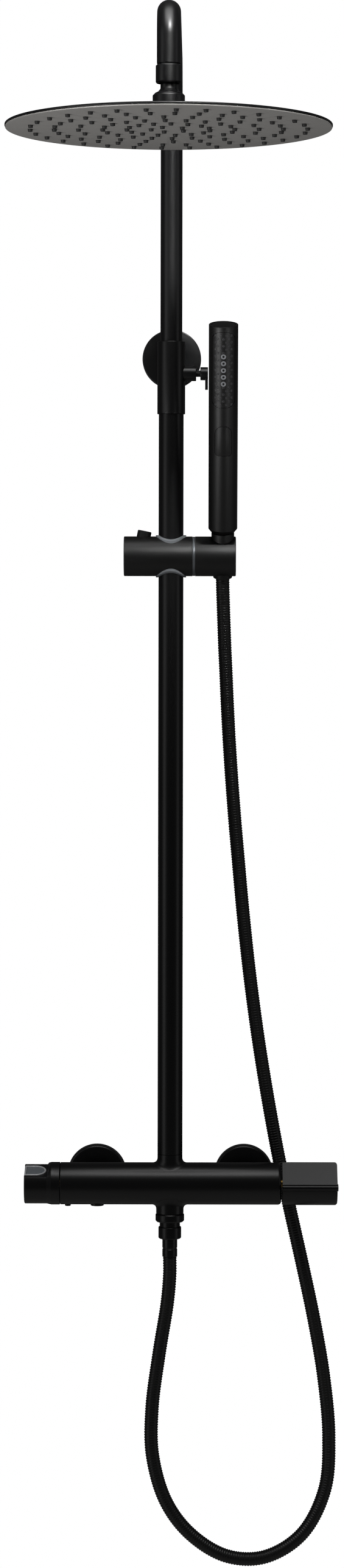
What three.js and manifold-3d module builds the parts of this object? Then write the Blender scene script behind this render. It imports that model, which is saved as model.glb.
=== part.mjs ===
// Rainfall shower column: an exposed thermostatic bar valve on two wall unions feeds a telescopic
// riser with a fixed overhead rose and, through a hose, a handset on a sliding holder.
// Millimetres. X to the right, Y into the wall, Z up. The wall is the plane Y = 0 and the origin is
// the middle of the upper wall bracket's back face.
import * as THREE from "three";
import { mergeGeometries, mergeVertices } from "three/addons/utils/BufferGeometryUtils.js";
import Module from "manifold-3d";

const wasm = await Module();
wasm.setup();

// ---- Driving dimensions ----------------------------------------------------------------------

const gap = 0.3; // between neighbouring pieces
const sides = { disc: 48, bar: 32, large: 24, medium: 16, small: 12, peg: 5 };

const column = {
  wallDistance: 70, // riser axis to the wall
  lowerRadius: 12.5,
  lowerWall: 1,
  upperRadius: 11,
  upperWall: 1,
  upperTail: 230, // upper pipe reaching down inside the lower tube, below the bracket
  armHeight: 292.4, // arm centreline above the bracket
  armReach: 330, // riser axis to the rose's axis
  armBend: 45, // bend radius of the pipe's centreline
  armMouth: 241.2, // height of the pipe's open end over the rose
};

const bracket = {
  roseRadius: 30,
  roseDepth: 9,
  roseWall: 1.6,
  plateRadius: 26,
  plateThickness: 3,
  plugRadius: 6.2,
  plugDepth: 16,
  screwOffset: 17,
  screwRadius: 2.75,
  stemRadius: 9,
  grubDepth: 12.5, // from the wall to the grub screw under the stem
  grubRadius: 2,
  sleeveWall: 1.2,
  sleeveTop: 12.9,
  sleeveBottom: -59.9,
  lipThickness: 3.3,
  sealHeight: 3.5,
};

const lock = {
  height: -19.2, // axis of the clamping lever, below the bracket
  bossRadius: 7.5,
  bossEnd: 25,
  spindleRadius: 3.2,
  hubRadius: 6.6,
  hubStart: 29.2,
  hubEnd: 36.9,
  paddleStart: 33.9,
  paddleLength: 16.2,
  paddleWidth: 9.6,
  paddleTip: 6,
};

const joint = {
  centre: 230, // height of the ball's centre
  ballRadius: 8.2,
  ringWall: 1,
  ringSpan: 28, // degrees of latitude each way
  cavityPlay: 0.7, // round the ring
  lipPlay: 0.6, // round the ball
  flare: 1.7, // of the lip, outwards
  collarWall: 1.8,
  collarBottom: 223.2,
  collarTop: 240.2,
  fittingLength: 5.5, // of the end fitting inside the pipe
  neckRadius: 7.7,
  neckBottom: 217,
  neckLength: 2, // from the neck to the ball
  lowLatitude: -45,
  topLatitude: 52,
  coneRadius: 13,
  stemRadius: 5.6,
  nutRadius: 14.8,
  nutTop: 212.9,
  nutBottom: 196,
  spigotRadius: 9.2,
};

// What fits round the ball, from the ball outwards.
const ringInner = joint.ballRadius + gap;
const ringOuter = ringInner + joint.ringWall;
const seatHeight = ringOuter * Math.sin(THREE.MathUtils.degToRad(joint.ringSpan)) - 0.46;
const cavityRadius = ringOuter + joint.cavityPlay;
const collarRadius = cavityRadius + joint.collarWall;

const head = {
  radius: 150,
  top: 185.4,
  underside: 181.9,
  sheet: 0.9,
  skirt: 2,
  plateThickness: 1.2,
  plateInset: 0.6,
  matInset: 3,
  matThickness: 0.8,
  hubRadius: 20,
  hubNeck: 13.5,
  nozzleRings: [5, 15, 20, 20, 30, 30], // nozzles in each ring, from the middle
  nozzleFirst: 16, // radius of the inner ring
  nozzleStep: 22.2, // between rings
  nozzleTurn: -2.5, // degrees, first nozzle of the outer rings
  nozzleRadius: 2.2,
  nozzleTip: 1.9,
  nozzleStand: 2.5, // standing out below the plate
};

const slider = {
  height: -202.8,
  radius: 20,
  left: -47.3,
  right: 21.6,
  bushWall: 2.4,
  bushStand: 1.3, // rim standing out of the body
  boreRadius: 16.5,
  boreClear: 3.3, // from the bush
  capThickness: 3,
  ringRadius: 19.6,
  ringWidth: 2.1,
  holderEnd: 65.2,
  axleRadius: 5,
  axleClear: 1.8, // from the bush
  axleEnd: 36,
  brakeRadius: 3.6,
  brakeHead: 5.5,
  brakeSet: 5.5, // of its head, from the bore's floor
  tilt: 18, // degrees, handset leaning out of the wall at rest
  swivel: 30, // degrees each way about the riser
};

const bushRadius = column.lowerRadius + gap + slider.bushWall;
const axleStart = bushRadius + slider.axleClear;
const boreEnd = -bushRadius - slider.boreClear;

const release = {
  footSet: 12.9, // where the button's axis meets the slider's, from the brake's floor
  lean: 11.3, // degrees towards the riser
  radius: 7,
  top: 25.9,
  skirt: 10,
  stemRadius: 3,
  stemEnd: -4,
  coilRadius: 4.4,
  wireRadius: 0.5,
  turns: 5,
};
const releaseFoot = boreEnd - release.footSet;

const handset = {
  axis: 52, // sideways from the riser
  radius: 14.5,
  bottom: 26,
  bevel: 3.6,
  bevelRadius: 11.6,
  top: 239,
  boreRadius: 12,
  boreStart: 150,
  waterway: 6,
  capRadius: 11.7,
  capThickness: 4.5,
  coreRadius: 11.6,
  plateCentre: 195.6,
  plateLength: 76,
  plateWidth: 22.4,
  plateCorner: 8,
  plateInner: 12,
  plateDepth: 5, // its edges, from the axis
  buttonTop: 138.5,
  buttonLength: 30,
  buttonWidth: 16.6,
  buttonFloor: 9.8,
  buttonUnder: 11.6,
  buttonRadius: 15,
};

const cone = {
  nutRadius: 11.45,
  nutTop: 25.2,
  taperTop: 12,
  nutBottom: -22,
  nutFoot: 9.5,
  holeTop: 12.5,
  holeFoot: 9.9,
  holeReach: 26,
  threadRadius: 9.3,
  hoseBore: 7.5,
  stubBottom: 12,
};

const valve = {
  height: -833.2,
  radius: 21,
  left: -110,
  right: 111.6,
  inletSpacing: 150,
  boreRadius: 16,
  boreStart: 62,
  waterway: 7,
  spigotTop: 29.7,
  nippleRadius: 10.9,
  nippleTop: 48,
  grooveRadius: 9.4,
  grooveBottom: 38,
  grooveTop: 41,
  bossRadius: 13.75,
  bossBottom: -29.4,
  outletBore: 8.3,
  stubRadius: 9.8,
  flangeRadius: 12,
  flangeThickness: 2.5,
  stubEnd: 30,
};

// Covers under the bar: place along it, radius, and how far they stand out.
const serviceCap = { x: -73, radius: 6.65, stand: 1.2 };
const cartridgeScrew = { x: -102.5, radius: 2.95, stand: 1.6 };

const inlet = {
  nutFlats: 30,
  nutStart: 24,
  nutEnd: 44,
  nutLip: 3.2,
  threadRadius: 12.9,
  threadEnd: 43,
  unionRadius: 10.2,
  unionTail: 12, // screwed into the wall fitting
  roseRadius: 30,
  roseDepth: 14,
  roseWall: 1.5,
  roseEdge: 2.5,
};

const cartridge = {
  radius: 15.6,
  inner: 64.2,
  outer: 108.5,
  spindleRadius: 3.8,
  spindleInner: 97,
  spindleBoreInner: 95.5,
};

const temperature = {
  end: -146,
  radius: 20.15,
  edge: 1.2,
  flareStart: -123.5,
  collarRadius: 21.2,
  inner: -111.2,
  facet: 13.9, // milled flat, from the axis
  facetTilt: 18, // degrees out of the wall
  cavityRadius: 17.5,
  cavityEnd: -117,
  spindleEnd: -130,
  buttonCentre: -134.4,
  buttonRadius: 10.3,
  buttonEnd: -145.8,
  buttonUnder: 10.8,
  buttonTop: 14.6,
  buttonChamfer: 0.9,
  buttonSlope: 1.7,
  pocketFloor: 8.4,
  coilRadius: 3.4,
  wireRadius: 0.35,
};

const flow = {
  start: 112.5,
  end: 168,
  radius: 21.3,
  edge: 2.6,
  facet: 14.9,
  facetTilt: 45,
  cavityRadius: 12.5,
  cavityEnd: 124,
  spindleEnd: 148,
  lipRadius: 24.2,
  lipStart: 112.9,
  lipEnd: 168.6,
};

const outlet = {
  ringRadius: 14.4,
  ringTop: -29.7,
  ringBottom: -38.2,
  spigotRadius: 8,
  spigotTop: -16,
  neckRadius: 10.2,
  neckBottom: -50,
  waterway: 5,
  nutRadius: 11.45,
  nutTop: -42.8,
  nutBottom: -55.1,
  ferruleRadius: 7.5,
  ferruleBottom: -73.4,
  ferruleStem: 6.7,
};

const hoseRadius = 7;
const hoseSides = 8;
const hoseStep = 36;

// Centreline of the hose, from inside the cone nut on the handset's axis to the outlet under the bar.
// Its top is three short stretches, one for each joint between the handset and the riser.
const hoseRoutes = {
  hose_at_handset: [
    [52, -68.76, -206.6],
    [52, -66.9, -212.3],
    [52, -63.8, -221.85],
    [52.1, -60.7, -231.4],
    [52.9, -54.6, -255.4],
    [54.4, -47.2, -295],
  ],
  hose_at_holder: [
    [54.42, -47.13, -295.5],
    [55.5, -43.8, -317],
    [57, -39.7, -350],
    [58.8, -36.3, -384],
  ],
  hose_at_slider: [
    [58.83, -36.26, -384.45],
    [60.6, -33.8, -412],
    [62.7, -31.8, -441],
    [65.3, -30.2, -474],
  ],
  hose: [
    [65.33, -30.17, -474.45],
    [67.9, -29.2, -502.8],
    [73.6, -27.6, -564.8],
    [80.4, -26.8, -626.8],
    [88.7, -26.3, -688.8],
    [98.7, -26, -750.8],
    [110.2, -26, -812.8],
    [121, -26, -862.3],
    [135, -26, -924.3],
    [146.4, -27, -978],
    [156.2, -29.2, -1035],
    [161.5, -33, -1096],
    [157, -38.5, -1149],
    [133.5, -44, -1192.5],
    [96, -49, -1214],
    [58, -53.4, -1212],
    [22, -57.6, -1189.5],
    [-3, -61.6, -1156],
    [-17, -65.6, -1108],
    [-17.6, -68.4, -1060],
    [-10.5, -69.7, -1004],
    [-2.4, -70, -953],
    [0, -70, -925],
    [0, -70, -906.9],
  ],
};

// ---- Solids ----------------------------------------------------------------------------------

const turn = Math.PI * 2;
const radians = THREE.MathUtils.degToRad;

// Radius of a polygon whose flats, not its corners, lie at the given radius.
const bore = (radius, count) => radius / Math.cos(Math.PI / count);

// A closed three.js geometry as a manifold solid with its faces out.
function solid(geometry) {
  const bare = new THREE.BufferGeometry();
  const plain = geometry.index ? geometry.toNonIndexed() : geometry;
  bare.setAttribute("position", plain.getAttribute("position").clone());
  const merged = mergeVertices(bare, 1e-4);
  const points = merged.getAttribute("position");
  const corners = merged.index.array;
  const faces = [];
  let volume = 0;
  const [a, b, c] = [new THREE.Vector3(), new THREE.Vector3(), new THREE.Vector3()];
  for (let i = 0; i < corners.length; i += 3) {
    const [p, q, r] = [corners[i], corners[i + 1], corners[i + 2]];
    if (p === q || q === r || r === p) continue;
    faces.push(p, q, r);
    a.fromBufferAttribute(points, p);
    b.fromBufferAttribute(points, q);
    c.fromBufferAttribute(points, r);
    volume += a.dot(b.cross(c));
  }
  if (volume < 0) faces.reverse();
  return new wasm.Manifold(
    new wasm.Mesh({
      numProp: 3,
      vertProperties: new Float32Array(points.array),
      triVerts: new Uint32Array(faces),
    }),
  );
}

function geometryOf(shape) {
  const { vertProperties, triVerts } = shape.getMesh();
  const geometry = new THREE.BufferGeometry();
  geometry.setAttribute("position", new THREE.BufferAttribute(vertProperties, 3));
  geometry.setIndex(new THREE.BufferAttribute(triVerts, 1));
  return geometry;
}

const join = (...geometries) => geometries.map(solid).reduce((whole, next) => whole.add(next));
const cut = (shape, ...geometries) =>
  geometries.map(solid).reduce((whole, next) => whole.subtract(next), shape);

// A profile of [radius, height] points turned about +Z. It ends on the axis or closes on itself.
function turned(profile, count = sides.medium) {
  const closes = profile[0][0] > 0 || profile.at(-1)[0] > 0;
  const outline = closes ? [...profile, profile[0]] : profile;
  const points = outline.map(([radius, height]) => new THREE.Vector2(radius, height));
  return new THREE.LatheGeometry(points, count).rotateX(Math.PI / 2);
}

const rod = (radius, from, to, count = sides.medium) =>
  turned([[0, from], [radius, from], [radius, to], [0, to]], count);
const hole = (radius, from, to, count = sides.medium) => rod(bore(radius, count), from, to, count);

const alongX = (geometry) => geometry.rotateY(Math.PI / 2);
const alongY = (geometry) => geometry.rotateX(-Math.PI / 2);
const offWall = (geometry) => geometry.rotateX(Math.PI / 2);

// Points of an arc in a profile, angles in degrees from the +radius direction towards +height.
function arc(centreRadius, centreHeight, radius, from, to, steps) {
  return Array.from({ length: steps + 1 }, (_, i) => {
    const angle = radians(from + ((to - from) * i) / steps);
    return [centreRadius + radius * Math.cos(angle), centreHeight + radius * Math.sin(angle)];
  });
}

// A curve through ready-made stations, so that a sweep has its rings only where they are needed.
class StationCurve extends THREE.Curve {
  constructor(stations, tangents) {
    super();
    this.stations = stations;
    this.tangents = tangents;
  }
  getPoint(t) {
    return this.stations[Math.round(t * (this.stations.length - 1))].clone();
  }
  getPointAt(u) {
    return this.getPoint(u);
  }
  getTangentAt(u) {
    return this.tangents[Math.round(u * (this.tangents.length - 1))].clone();
  }
}

// A pipe's centreline: straight runs between corners, with round bends of one radius.
function bentRoute(corners, radius, bendSteps) {
  const points = corners.map((corner) => new THREE.Vector3(...corner));
  const stations = [points[0]];
  const tangents = [points[1].clone().sub(points[0]).normalize()];
  for (let i = 1; i < points.length - 1; i += 1) {
    const before = points[i].clone().sub(points[i - 1]).normalize();
    const after = points[i + 1].clone().sub(points[i]).normalize();
    const bend = before.angleTo(after);
    const reach = radius * Math.tan(bend / 2);
    const start = points[i].clone().addScaledVector(before, -reach);
    const side = after.clone().addScaledVector(before, -before.dot(after)).normalize();
    const centre = start.clone().addScaledVector(side, radius);
    for (let k = 0; k <= bendSteps; k += 1) {
      const angle = (bend * k) / bendSteps;
      const out = side.clone().multiplyScalar(-radius * Math.cos(angle));
      stations.push(centre.clone().add(out).addScaledVector(before, radius * Math.sin(angle)));
      const heading = before.clone().multiplyScalar(Math.cos(angle));
      tangents.push(heading.addScaledVector(side, Math.sin(angle)));
    }
  }
  stations.push(points.at(-1));
  tangents.push(points.at(-1).clone().sub(points.at(-2)).normalize());
  return new StationCurve(stations, tangents);
}

const circle = (radius, count) =>
  new THREE.Shape(
    Array.from({ length: count }, (_, i) => {
      const angle = (turn * i) / count;
      return new THREE.Vector2(radius * Math.cos(angle), radius * Math.sin(angle));
    }),
  );

const swept = (route, radius, count, steps) =>
  new THREE.ExtrudeGeometry(circle(radius, count), { extrudePath: route, steps });

const sweptStations = (route, radius, count) =>
  swept(route, radius, count, route.stations.length - 1);

function coil(radius, wire, from, to, turns, stepsPerTurn = 7) {
  const count = turns * stepsPerTurn;
  const points = Array.from({ length: count + 1 }, (_, i) => {
    const angle = (turn * i) / stepsPerTurn;
    const height = from + ((to - from) * i) / count;
    return new THREE.Vector3(radius * Math.cos(angle), radius * Math.sin(angle), height);
  });
  return swept(new THREE.CatmullRomCurve3(points), wire, 4, count);
}

// An outline in the XY plane extruded along +Z between two heights.
function extruded(outline, from, to, bevel = {}) {
  const depth = to - from;
  const shape = outline instanceof THREE.Shape ? outline : new THREE.Shape(outline);
  const geometry = new THREE.ExtrudeGeometry(shape, {
    depth,
    bevelEnabled: false,
    curveSegments: 6,
    ...bevel,
  });
  return geometry.translate(0, 0, from);
}

const corner = (x, y) => new THREE.Vector2(x, y);

// ---- Scene -----------------------------------------------------------------------------------

const finishes = {
  blackLacquer: { color: 0x161616, roughness: 0.42, metalness: 0.3 },
  blackPlastic: { color: 0x131313, roughness: 0.5, metalness: 0 },
  greyPlastic: { color: 0x8c9094, roughness: 0.45, metalness: 0 },
  steelGrey: { color: 0x9da1a6, roughness: 0.35, metalness: 0.8 },
  undersidePlate: { color: 0x3a3937, roughness: 0.4, metalness: 0.6 },
  brass: { color: 0xb08d4f, roughness: 0.35, metalness: 0.9 },
  steel: { color: 0xb8babd, roughness: 0.3, metalness: 1 },
  whitePlastic: { color: 0xdedcd6, roughness: 0.5, metalness: 0 },
  rubber: { color: 0x0c0c0c, roughness: 0.8, metalness: 0 },
};

const place = (x, y, z) => {
  const group = new THREE.Group();
  group.position.set(x, y, z);
  return group;
};

function add(group, name, shape, finish) {
  const whole = shape instanceof wasm.Manifold ? shape : solid(shape);
  const material = new THREE.MeshStandardMaterial(finishes[finish]);
  const mesh = new THREE.Mesh(geometryOf(whole), material);
  mesh.name = name;
  group.add(mesh);
}

// ---- Upper wall bracket: plate, rose, casting with its sleeve, grub screw ------------------------

function addBracket(group) {
  const { plateRadius, plateThickness, plugRadius, plugDepth, stemRadius } = bracket;
  const plate = offWall(
    turned([
      [0, 0],
      [plateRadius, 0],
      [plateRadius, plateThickness],
      [plugRadius, plateThickness],
      [plugRadius, plugDepth],
      [0, plugDepth],
    ]),
  );
  const screwHoles = [-1, 1].map((side) =>
    offWall(hole(bracket.screwRadius, -1, plateThickness + 1, sides.small)).translate(
      side * bracket.screwOffset,
      0,
      0,
    ),
  );
  add(group, "wall_fixing_plate", cut(solid(plate), ...screwHoles), "steel");

  const { roseRadius, roseDepth, roseWall } = bracket;
  const roseHole = bore(stemRadius + gap, sides.large);
  const rose = turned(
    [
      [roseHole, roseDepth - roseWall],
      [roseRadius - roseWall, roseDepth - roseWall],
      [roseRadius - roseWall, 0],
      [roseRadius, 0],
      [roseRadius, roseDepth - 0.6],
      [roseRadius - 0.6, roseDepth],
      [roseHole, roseDepth],
    ],
    sides.large,
  );
  add(group, "bracket_rose", offWall(rose), "blackLacquer");

  const { sleeveWall, sleeveTop, sleeveBottom, lipThickness } = bracket;
  const sleeveRadius = column.lowerRadius + gap + sleeveWall;
  const axis = -column.wallDistance;
  const sleeve = turned(
    [
      [0, sleeveBottom],
      [sleeveRadius - 0.6, sleeveBottom],
      [sleeveRadius, sleeveBottom + 0.6],
      [sleeveRadius, sleeveTop - 0.6],
      [sleeveRadius - 0.6, sleeveTop],
      [0, sleeveTop],
    ],
    sides.large,
  ).translate(0, axis, 0);
  const stemEnd = plateThickness + 2;
  const stem = offWall(rod(stemRadius, stemEnd, column.wallDistance - 2));
  const boss = alongX(rod(lock.bossRadius, 0, lock.bossEnd)).translate(0, axis, lock.height);
  const tubeBore = hole(
    column.lowerRadius + gap,
    sleeveBottom - 1,
    sleeveTop - lipThickness,
    sides.large,
  ).translate(0, axis, 0);
  const pipeBore = hole(
    column.upperRadius + gap,
    0,
    sleeveTop + 1,
    sides.large,
  ).translate(0, axis, 0);
  const socket = offWall(hole(plugRadius + gap, 0, plugDepth + 3));
  const spindleBore = alongX(
    hole(lock.spindleRadius + gap, 8, lock.bossEnd + 1, sides.small),
  ).translate(0, axis, lock.height);
  const grubBore = hole(bracket.grubRadius + gap, -stemRadius - 1, 0, sides.small).translate(
    0,
    -bracket.grubDepth,
    0,
  );
  const casting = cut(
    join(sleeve, stem, boss),
    tubeBore,
    pipeBore,
    socket,
    spindleBore,
    grubBore,
  );
  add(group, "riser_bracket", casting, "blackLacquer");

  const grub = rod(bracket.grubRadius, -stemRadius + 0.2, -plugRadius - gap, sides.small);
  add(group, "bracket_grub_screw", grub.translate(0, -bracket.grubDepth, 0), "steel");
}

function addHeightLock(group) {
  const { spindleRadius, hubRadius, hubStart, hubEnd, paddleStart } = lock;
  const spindleTip = column.lowerRadius + gap + 0.1;
  const grip = hubStart + 4.3;
  const spindle = rod(spindleRadius, spindleTip, grip - gap, sides.small);
  add(group, "lock_spindle", alongX(spindle), "steel");

  const hub = turned([
    [0, hubStart],
    [hubRadius - 0.6, hubStart],
    [hubRadius, hubStart + 0.6],
    [hubRadius, hubEnd - 0.6],
    [hubRadius - 0.6, hubEnd],
    [0, hubEnd],
  ]);
  const { paddleLength, paddleWidth, paddleTip } = lock;
  const paddle = new THREE.Shape();
  paddle.moveTo(-paddleWidth / 2, 0);
  paddle.lineTo(-paddleTip / 2, -paddleLength + paddleTip / 2);
  paddle.absarc(0, -paddleLength + paddleTip / 2, paddleTip / 2, Math.PI, turn, false);
  paddle.lineTo(paddleWidth / 2, 0);
  const blade = extruded(paddle, paddleStart, hubEnd).rotateX(Math.PI / 2).rotateZ(Math.PI / 2);
  const socket = alongX(hole(spindleRadius + gap, hubStart - 1, grip, sides.small));
  add(group, "lock_lever", cut(join(alongX(hub), blade), socket), "blackLacquer");
}

// ---- Riser: fixed lower tube, telescopic upper pipe with its arm ---------------------------------

function addLowerRiser(group) {
  const top = bracket.sleeveTop - bracket.lipThickness - bracket.sealHeight - gap;
  const bottom = valve.height + valve.spigotTop + gap;
  const { lowerRadius, lowerWall, upperRadius } = column;
  const inner = bore(lowerRadius - lowerWall, sides.large);
  const tube = turned(
    [[inner, bottom], [lowerRadius, bottom], [lowerRadius, top], [inner, top]],
    sides.large,
  );
  add(group, "lower_riser_tube", tube, "blackLacquer");

  const sealBottom = top + gap;
  const sealTop = bracket.sleeveTop - bracket.lipThickness - gap;
  const wiper = bore(upperRadius + 0.2, sides.large);
  const seal = turned(
    [
      [wiper, sealBottom],
      [lowerRadius, sealBottom],
      [lowerRadius, sealTop],
      [wiper + 0.5, sealTop],
      [wiper, sealTop - 0.8],
    ],
    sides.large,
  );
  add(group, "telescope_wiper_seal", seal, "rubber");

  const { grooveRadius, grooveBottom, grooveTop } = valve;
  const ring = [grooveBottom + gap, grooveTop - gap].map((height) => height + valve.height);
  const sealInner = bore(grooveRadius + gap, sides.medium);
  const sealOuter = lowerRadius - lowerWall - gap;
  const baseSeal = turned([
    [sealInner, ring[0]],
    [sealOuter - 0.5, ring[0]],
    [sealOuter, ring[0] + 0.6],
    [sealOuter, ring[1] - 0.6],
    [sealOuter - 0.5, ring[1]],
    [sealInner, ring[1]],
  ]);
  add(group, "riser_base_seal", baseSeal, "rubber");
}

function addTelescope(group) {
  const { upperRadius, upperWall, upperTail, armHeight, armReach, armMouth, armBend } = column;
  const pipeSides = 16;
  const inner = bore(upperRadius - upperWall, pipeSides);
  const route = (over) =>
    bentRoute(
      [
        [0, 0, -upperTail - over],
        [0, 0, armHeight],
        [0, -armReach, armHeight],
        [0, -armReach, armMouth - over],
      ],
      armBend,
      5,
    );
  const pipe = solid(sweptStations(route(0), upperRadius, pipeSides));
  add(group, "arm_pipe", cut(pipe, sweptStations(route(1), inner, pipeSides)), "blackLacquer");

  const guideTop = -upperTail - gap;
  const spigot = upperRadius - upperWall - gap;
  const flange = column.lowerRadius - column.lowerWall - gap;
  const guide = turned([
    [7, guideTop - 6],
    [flange, guideTop - 6],
    [flange, guideTop],
    [spigot, guideTop],
    [spigot, guideTop + 8],
    [7, guideTop + 8],
  ]);
  add(group, "telescope_guide", guide, "whitePlastic");
}

// ---- Ball joint between the arm and the rose -----------------------------------------------------

function addBallJointSeat(group) {
  const pipeBore = column.upperRadius - column.upperWall - gap;
  const fittingWater = bore(6.2, sides.medium);
  const { centre, collarTop, collarBottom, ballRadius } = joint;
  const lipRadius = ballRadius + joint.lipPlay;
  const thread = ringOuter - 0.1;
  const fittingBottom = centre + ballRadius * Math.sin(radians(joint.topLatitude)) + 2 * gap;
  const mouth = column.armMouth - gap;
  const fitting = turned([
    [fittingWater, fittingBottom],
    [thread, fittingBottom],
    [thread, mouth],
    [pipeBore, mouth],
    [pipeBore, mouth + joint.fittingLength + 2 * gap],
    [fittingWater, mouth + joint.fittingLength + 2 * gap],
  ]);
  add(group, "arm_end_fitting", fitting, "brass");

  const flare = bore(lipRadius + joint.flare, sides.medium);
  const lip = bore(lipRadius, sides.medium);
  const cavity = bore(cavityRadius, sides.medium);
  const threadBore = bore(thread + gap, sides.medium);
  const collar = turned([
    [flare, collarBottom],
    [collarRadius - 0.7, collarBottom],
    [collarRadius, collarBottom + 1.2],
    [collarRadius, collarTop - 1.2],
    [collarRadius - 1.2, collarTop],
    [threadBore, collarTop],
    [threadBore, centre + seatHeight],
    [cavity, centre + seatHeight],
    [cavity, centre - seatHeight],
    [lip, centre - seatHeight],
  ]);
  add(group, "ball_joint_collar", collar, "blackLacquer");
}

function addFrictionRing(group) {
  const { centre, ringSpan } = joint;
  const outer = arc(0, centre, ringOuter, -ringSpan, ringSpan, 3);
  const inner = arc(0, centre, bore(ringInner, sides.medium), ringSpan, -ringSpan, 3);
  const ring = turned([...outer, ...inner], sides.medium);
  add(group, "ball_friction_ring", ring, "whitePlastic");
}

function addHead(group) {
  const { centre, ballRadius, stemRadius, neckRadius, neckBottom, neckLength, coneRadius } = joint;
  const { nutRadius, nutTop, nutBottom, spigotRadius, lowLatitude, topLatitude } = joint;
  const neckTop = centre + ballRadius * Math.sin(radians(lowLatitude)) - neckLength;
  const waterway = bore(3.5, sides.medium);
  const stem = turned([
    [waterway, nutBottom + 2.2],
    [spigotRadius, nutBottom + 2.2],
    [spigotRadius, nutTop + gap],
    [coneRadius, nutTop + gap],
    [coneRadius, nutTop + 0.9],
    [neckRadius + 2, neckBottom - 1.4],
    [neckRadius, neckBottom + 0.6],
    [neckRadius, neckTop],
    [stemRadius, neckTop + 1.2],
    ...arc(0, centre, ballRadius, lowLatitude, topLatitude, 8),
    [waterway, centre + ballRadius * Math.sin(radians(topLatitude))],
  ]);
  add(group, "ball_stem", stem, "blackLacquer");

  const nutBore = bore(spigotRadius + gap, sides.medium);
  const nut = turned(
    [
      [nutBore, nutBottom],
      [nutRadius, nutBottom],
      [nutRadius, nutTop - 1.2],
      [nutRadius - 0.9, nutTop],
      [nutBore, nutTop],
    ],
    sides.large,
  );
  add(group, "head_base_nut", nut, "blackLacquer");

  const { hubRadius, hubNeck, top, sheet, underside } = head;
  const hubTop = nutBottom - gap;
  const water = bore(6, sides.medium);
  const hub = turned(
    [
      [water, top - sheet],
      [spigotRadius - 0.1, top - sheet],
      [spigotRadius - 0.1, top + gap],
      [hubRadius, top + gap],
      [hubRadius, top + 3],
      [hubNeck + 1, top + 5],
      [hubNeck, top + 7],
      [hubNeck, hubTop],
      [spigotRadius, hubTop],
      [spigotRadius, hubTop + 2],
      [water, hubTop + 2],
    ],
    sides.medium,
  );
  add(group, "head_hub", hub, "blackLacquer");

  const centreHole = bore(spigotRadius + gap, sides.disc);
  const shell = turned(
    [
      [centreHole, top - sheet],
      [head.radius - sheet, top - sheet],
      [head.radius - sheet, top - head.skirt],
      [head.radius, top - head.skirt],
      [head.radius, top - 0.5],
      [head.radius - 0.5, top],
      [centreHole, top],
    ],
    sides.disc,
  );
  add(group, "head_top_shell", shell, "blackLacquer");

  const plateTop = underside + head.plateThickness;
  const plate = rod(head.radius - head.plateInset, underside, plateTop, sides.disc);
  const holes = nozzles(head.nozzleRadius + gap, head.nozzleRadius + gap, underside - 1, plateTop + 1);
  add(group, "head_faceplate", cut(solid(plate), holes), "undersidePlate");

  const matBottom = plateTop + gap;
  const matRadius = head.radius - head.matInset;
  const mat = rod(matRadius, matBottom, matBottom + head.matThickness, sides.disc);
  const tip = underside - head.nozzleStand;
  const pegs = nozzles(head.nozzleTip, head.nozzleRadius, tip, matBottom + 0.4);
  add(group, "nozzle_mat", solid(mat).add(solid(pegs)), "rubber");
}

// All the nozzle pegs or their holes, in rings: lower and upper radius, bottom and top height.
function nozzles(lower, upper, bottom, top) {
  const pegs = head.nozzleRings.flatMap((count, ring) => {
    const radius = head.nozzleFirst + head.nozzleStep * ring;
    const start = head.nozzleTurn + (ring < 2 ? 180 / count : 0);
    return Array.from({ length: count }, (_, i) => {
      const angle = radians(start + (360 * i) / count);
      const peg = new THREE.CylinderGeometry(upper, lower, top - bottom, sides.peg);
      peg.rotateX(Math.PI / 2);
      return peg.translate(radius * Math.cos(angle), radius * Math.sin(angle), (bottom + top) / 2);
    });
  });
  return mergeGeometries(pegs);
}

// ---- Slider on the riser -------------------------------------------------------------------------

function addSliderBush(group) {
  const { bushStand, radius } = slider;
  const inner = bore(column.lowerRadius + gap, sides.large);
  const reach = radius + bushStand + 1;
  const tube = turned(
    [[inner, -reach], [bushRadius, -reach], [bushRadius, reach], [inner, reach]],
    sides.large,
  );
  const rim = alongX(rod(radius + bushStand, -bushRadius - 1, bushRadius + 1, sides.bar));
  // The brake pin swings in this slot when the slider swivels.
  const pinClearance = slider.brakeRadius + gap;
  const slotWidth = 2 * (bushRadius * Math.sin(radians(slider.swivel)) + pinClearance);
  const slot = new THREE.BoxGeometry(bushRadius, slotWidth, 2 * pinClearance);
  slot.translate(-bushRadius + 3, 0, 0);
  const bush = solid(tube).intersect(solid(rim)).subtract(solid(slot));
  add(group, "slider_bush", bush, "greyPlastic");
}

function leaning(geometry) {
  return geometry.rotateY(radians(release.lean)).translate(releaseFoot, 0, 0);
}

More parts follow.
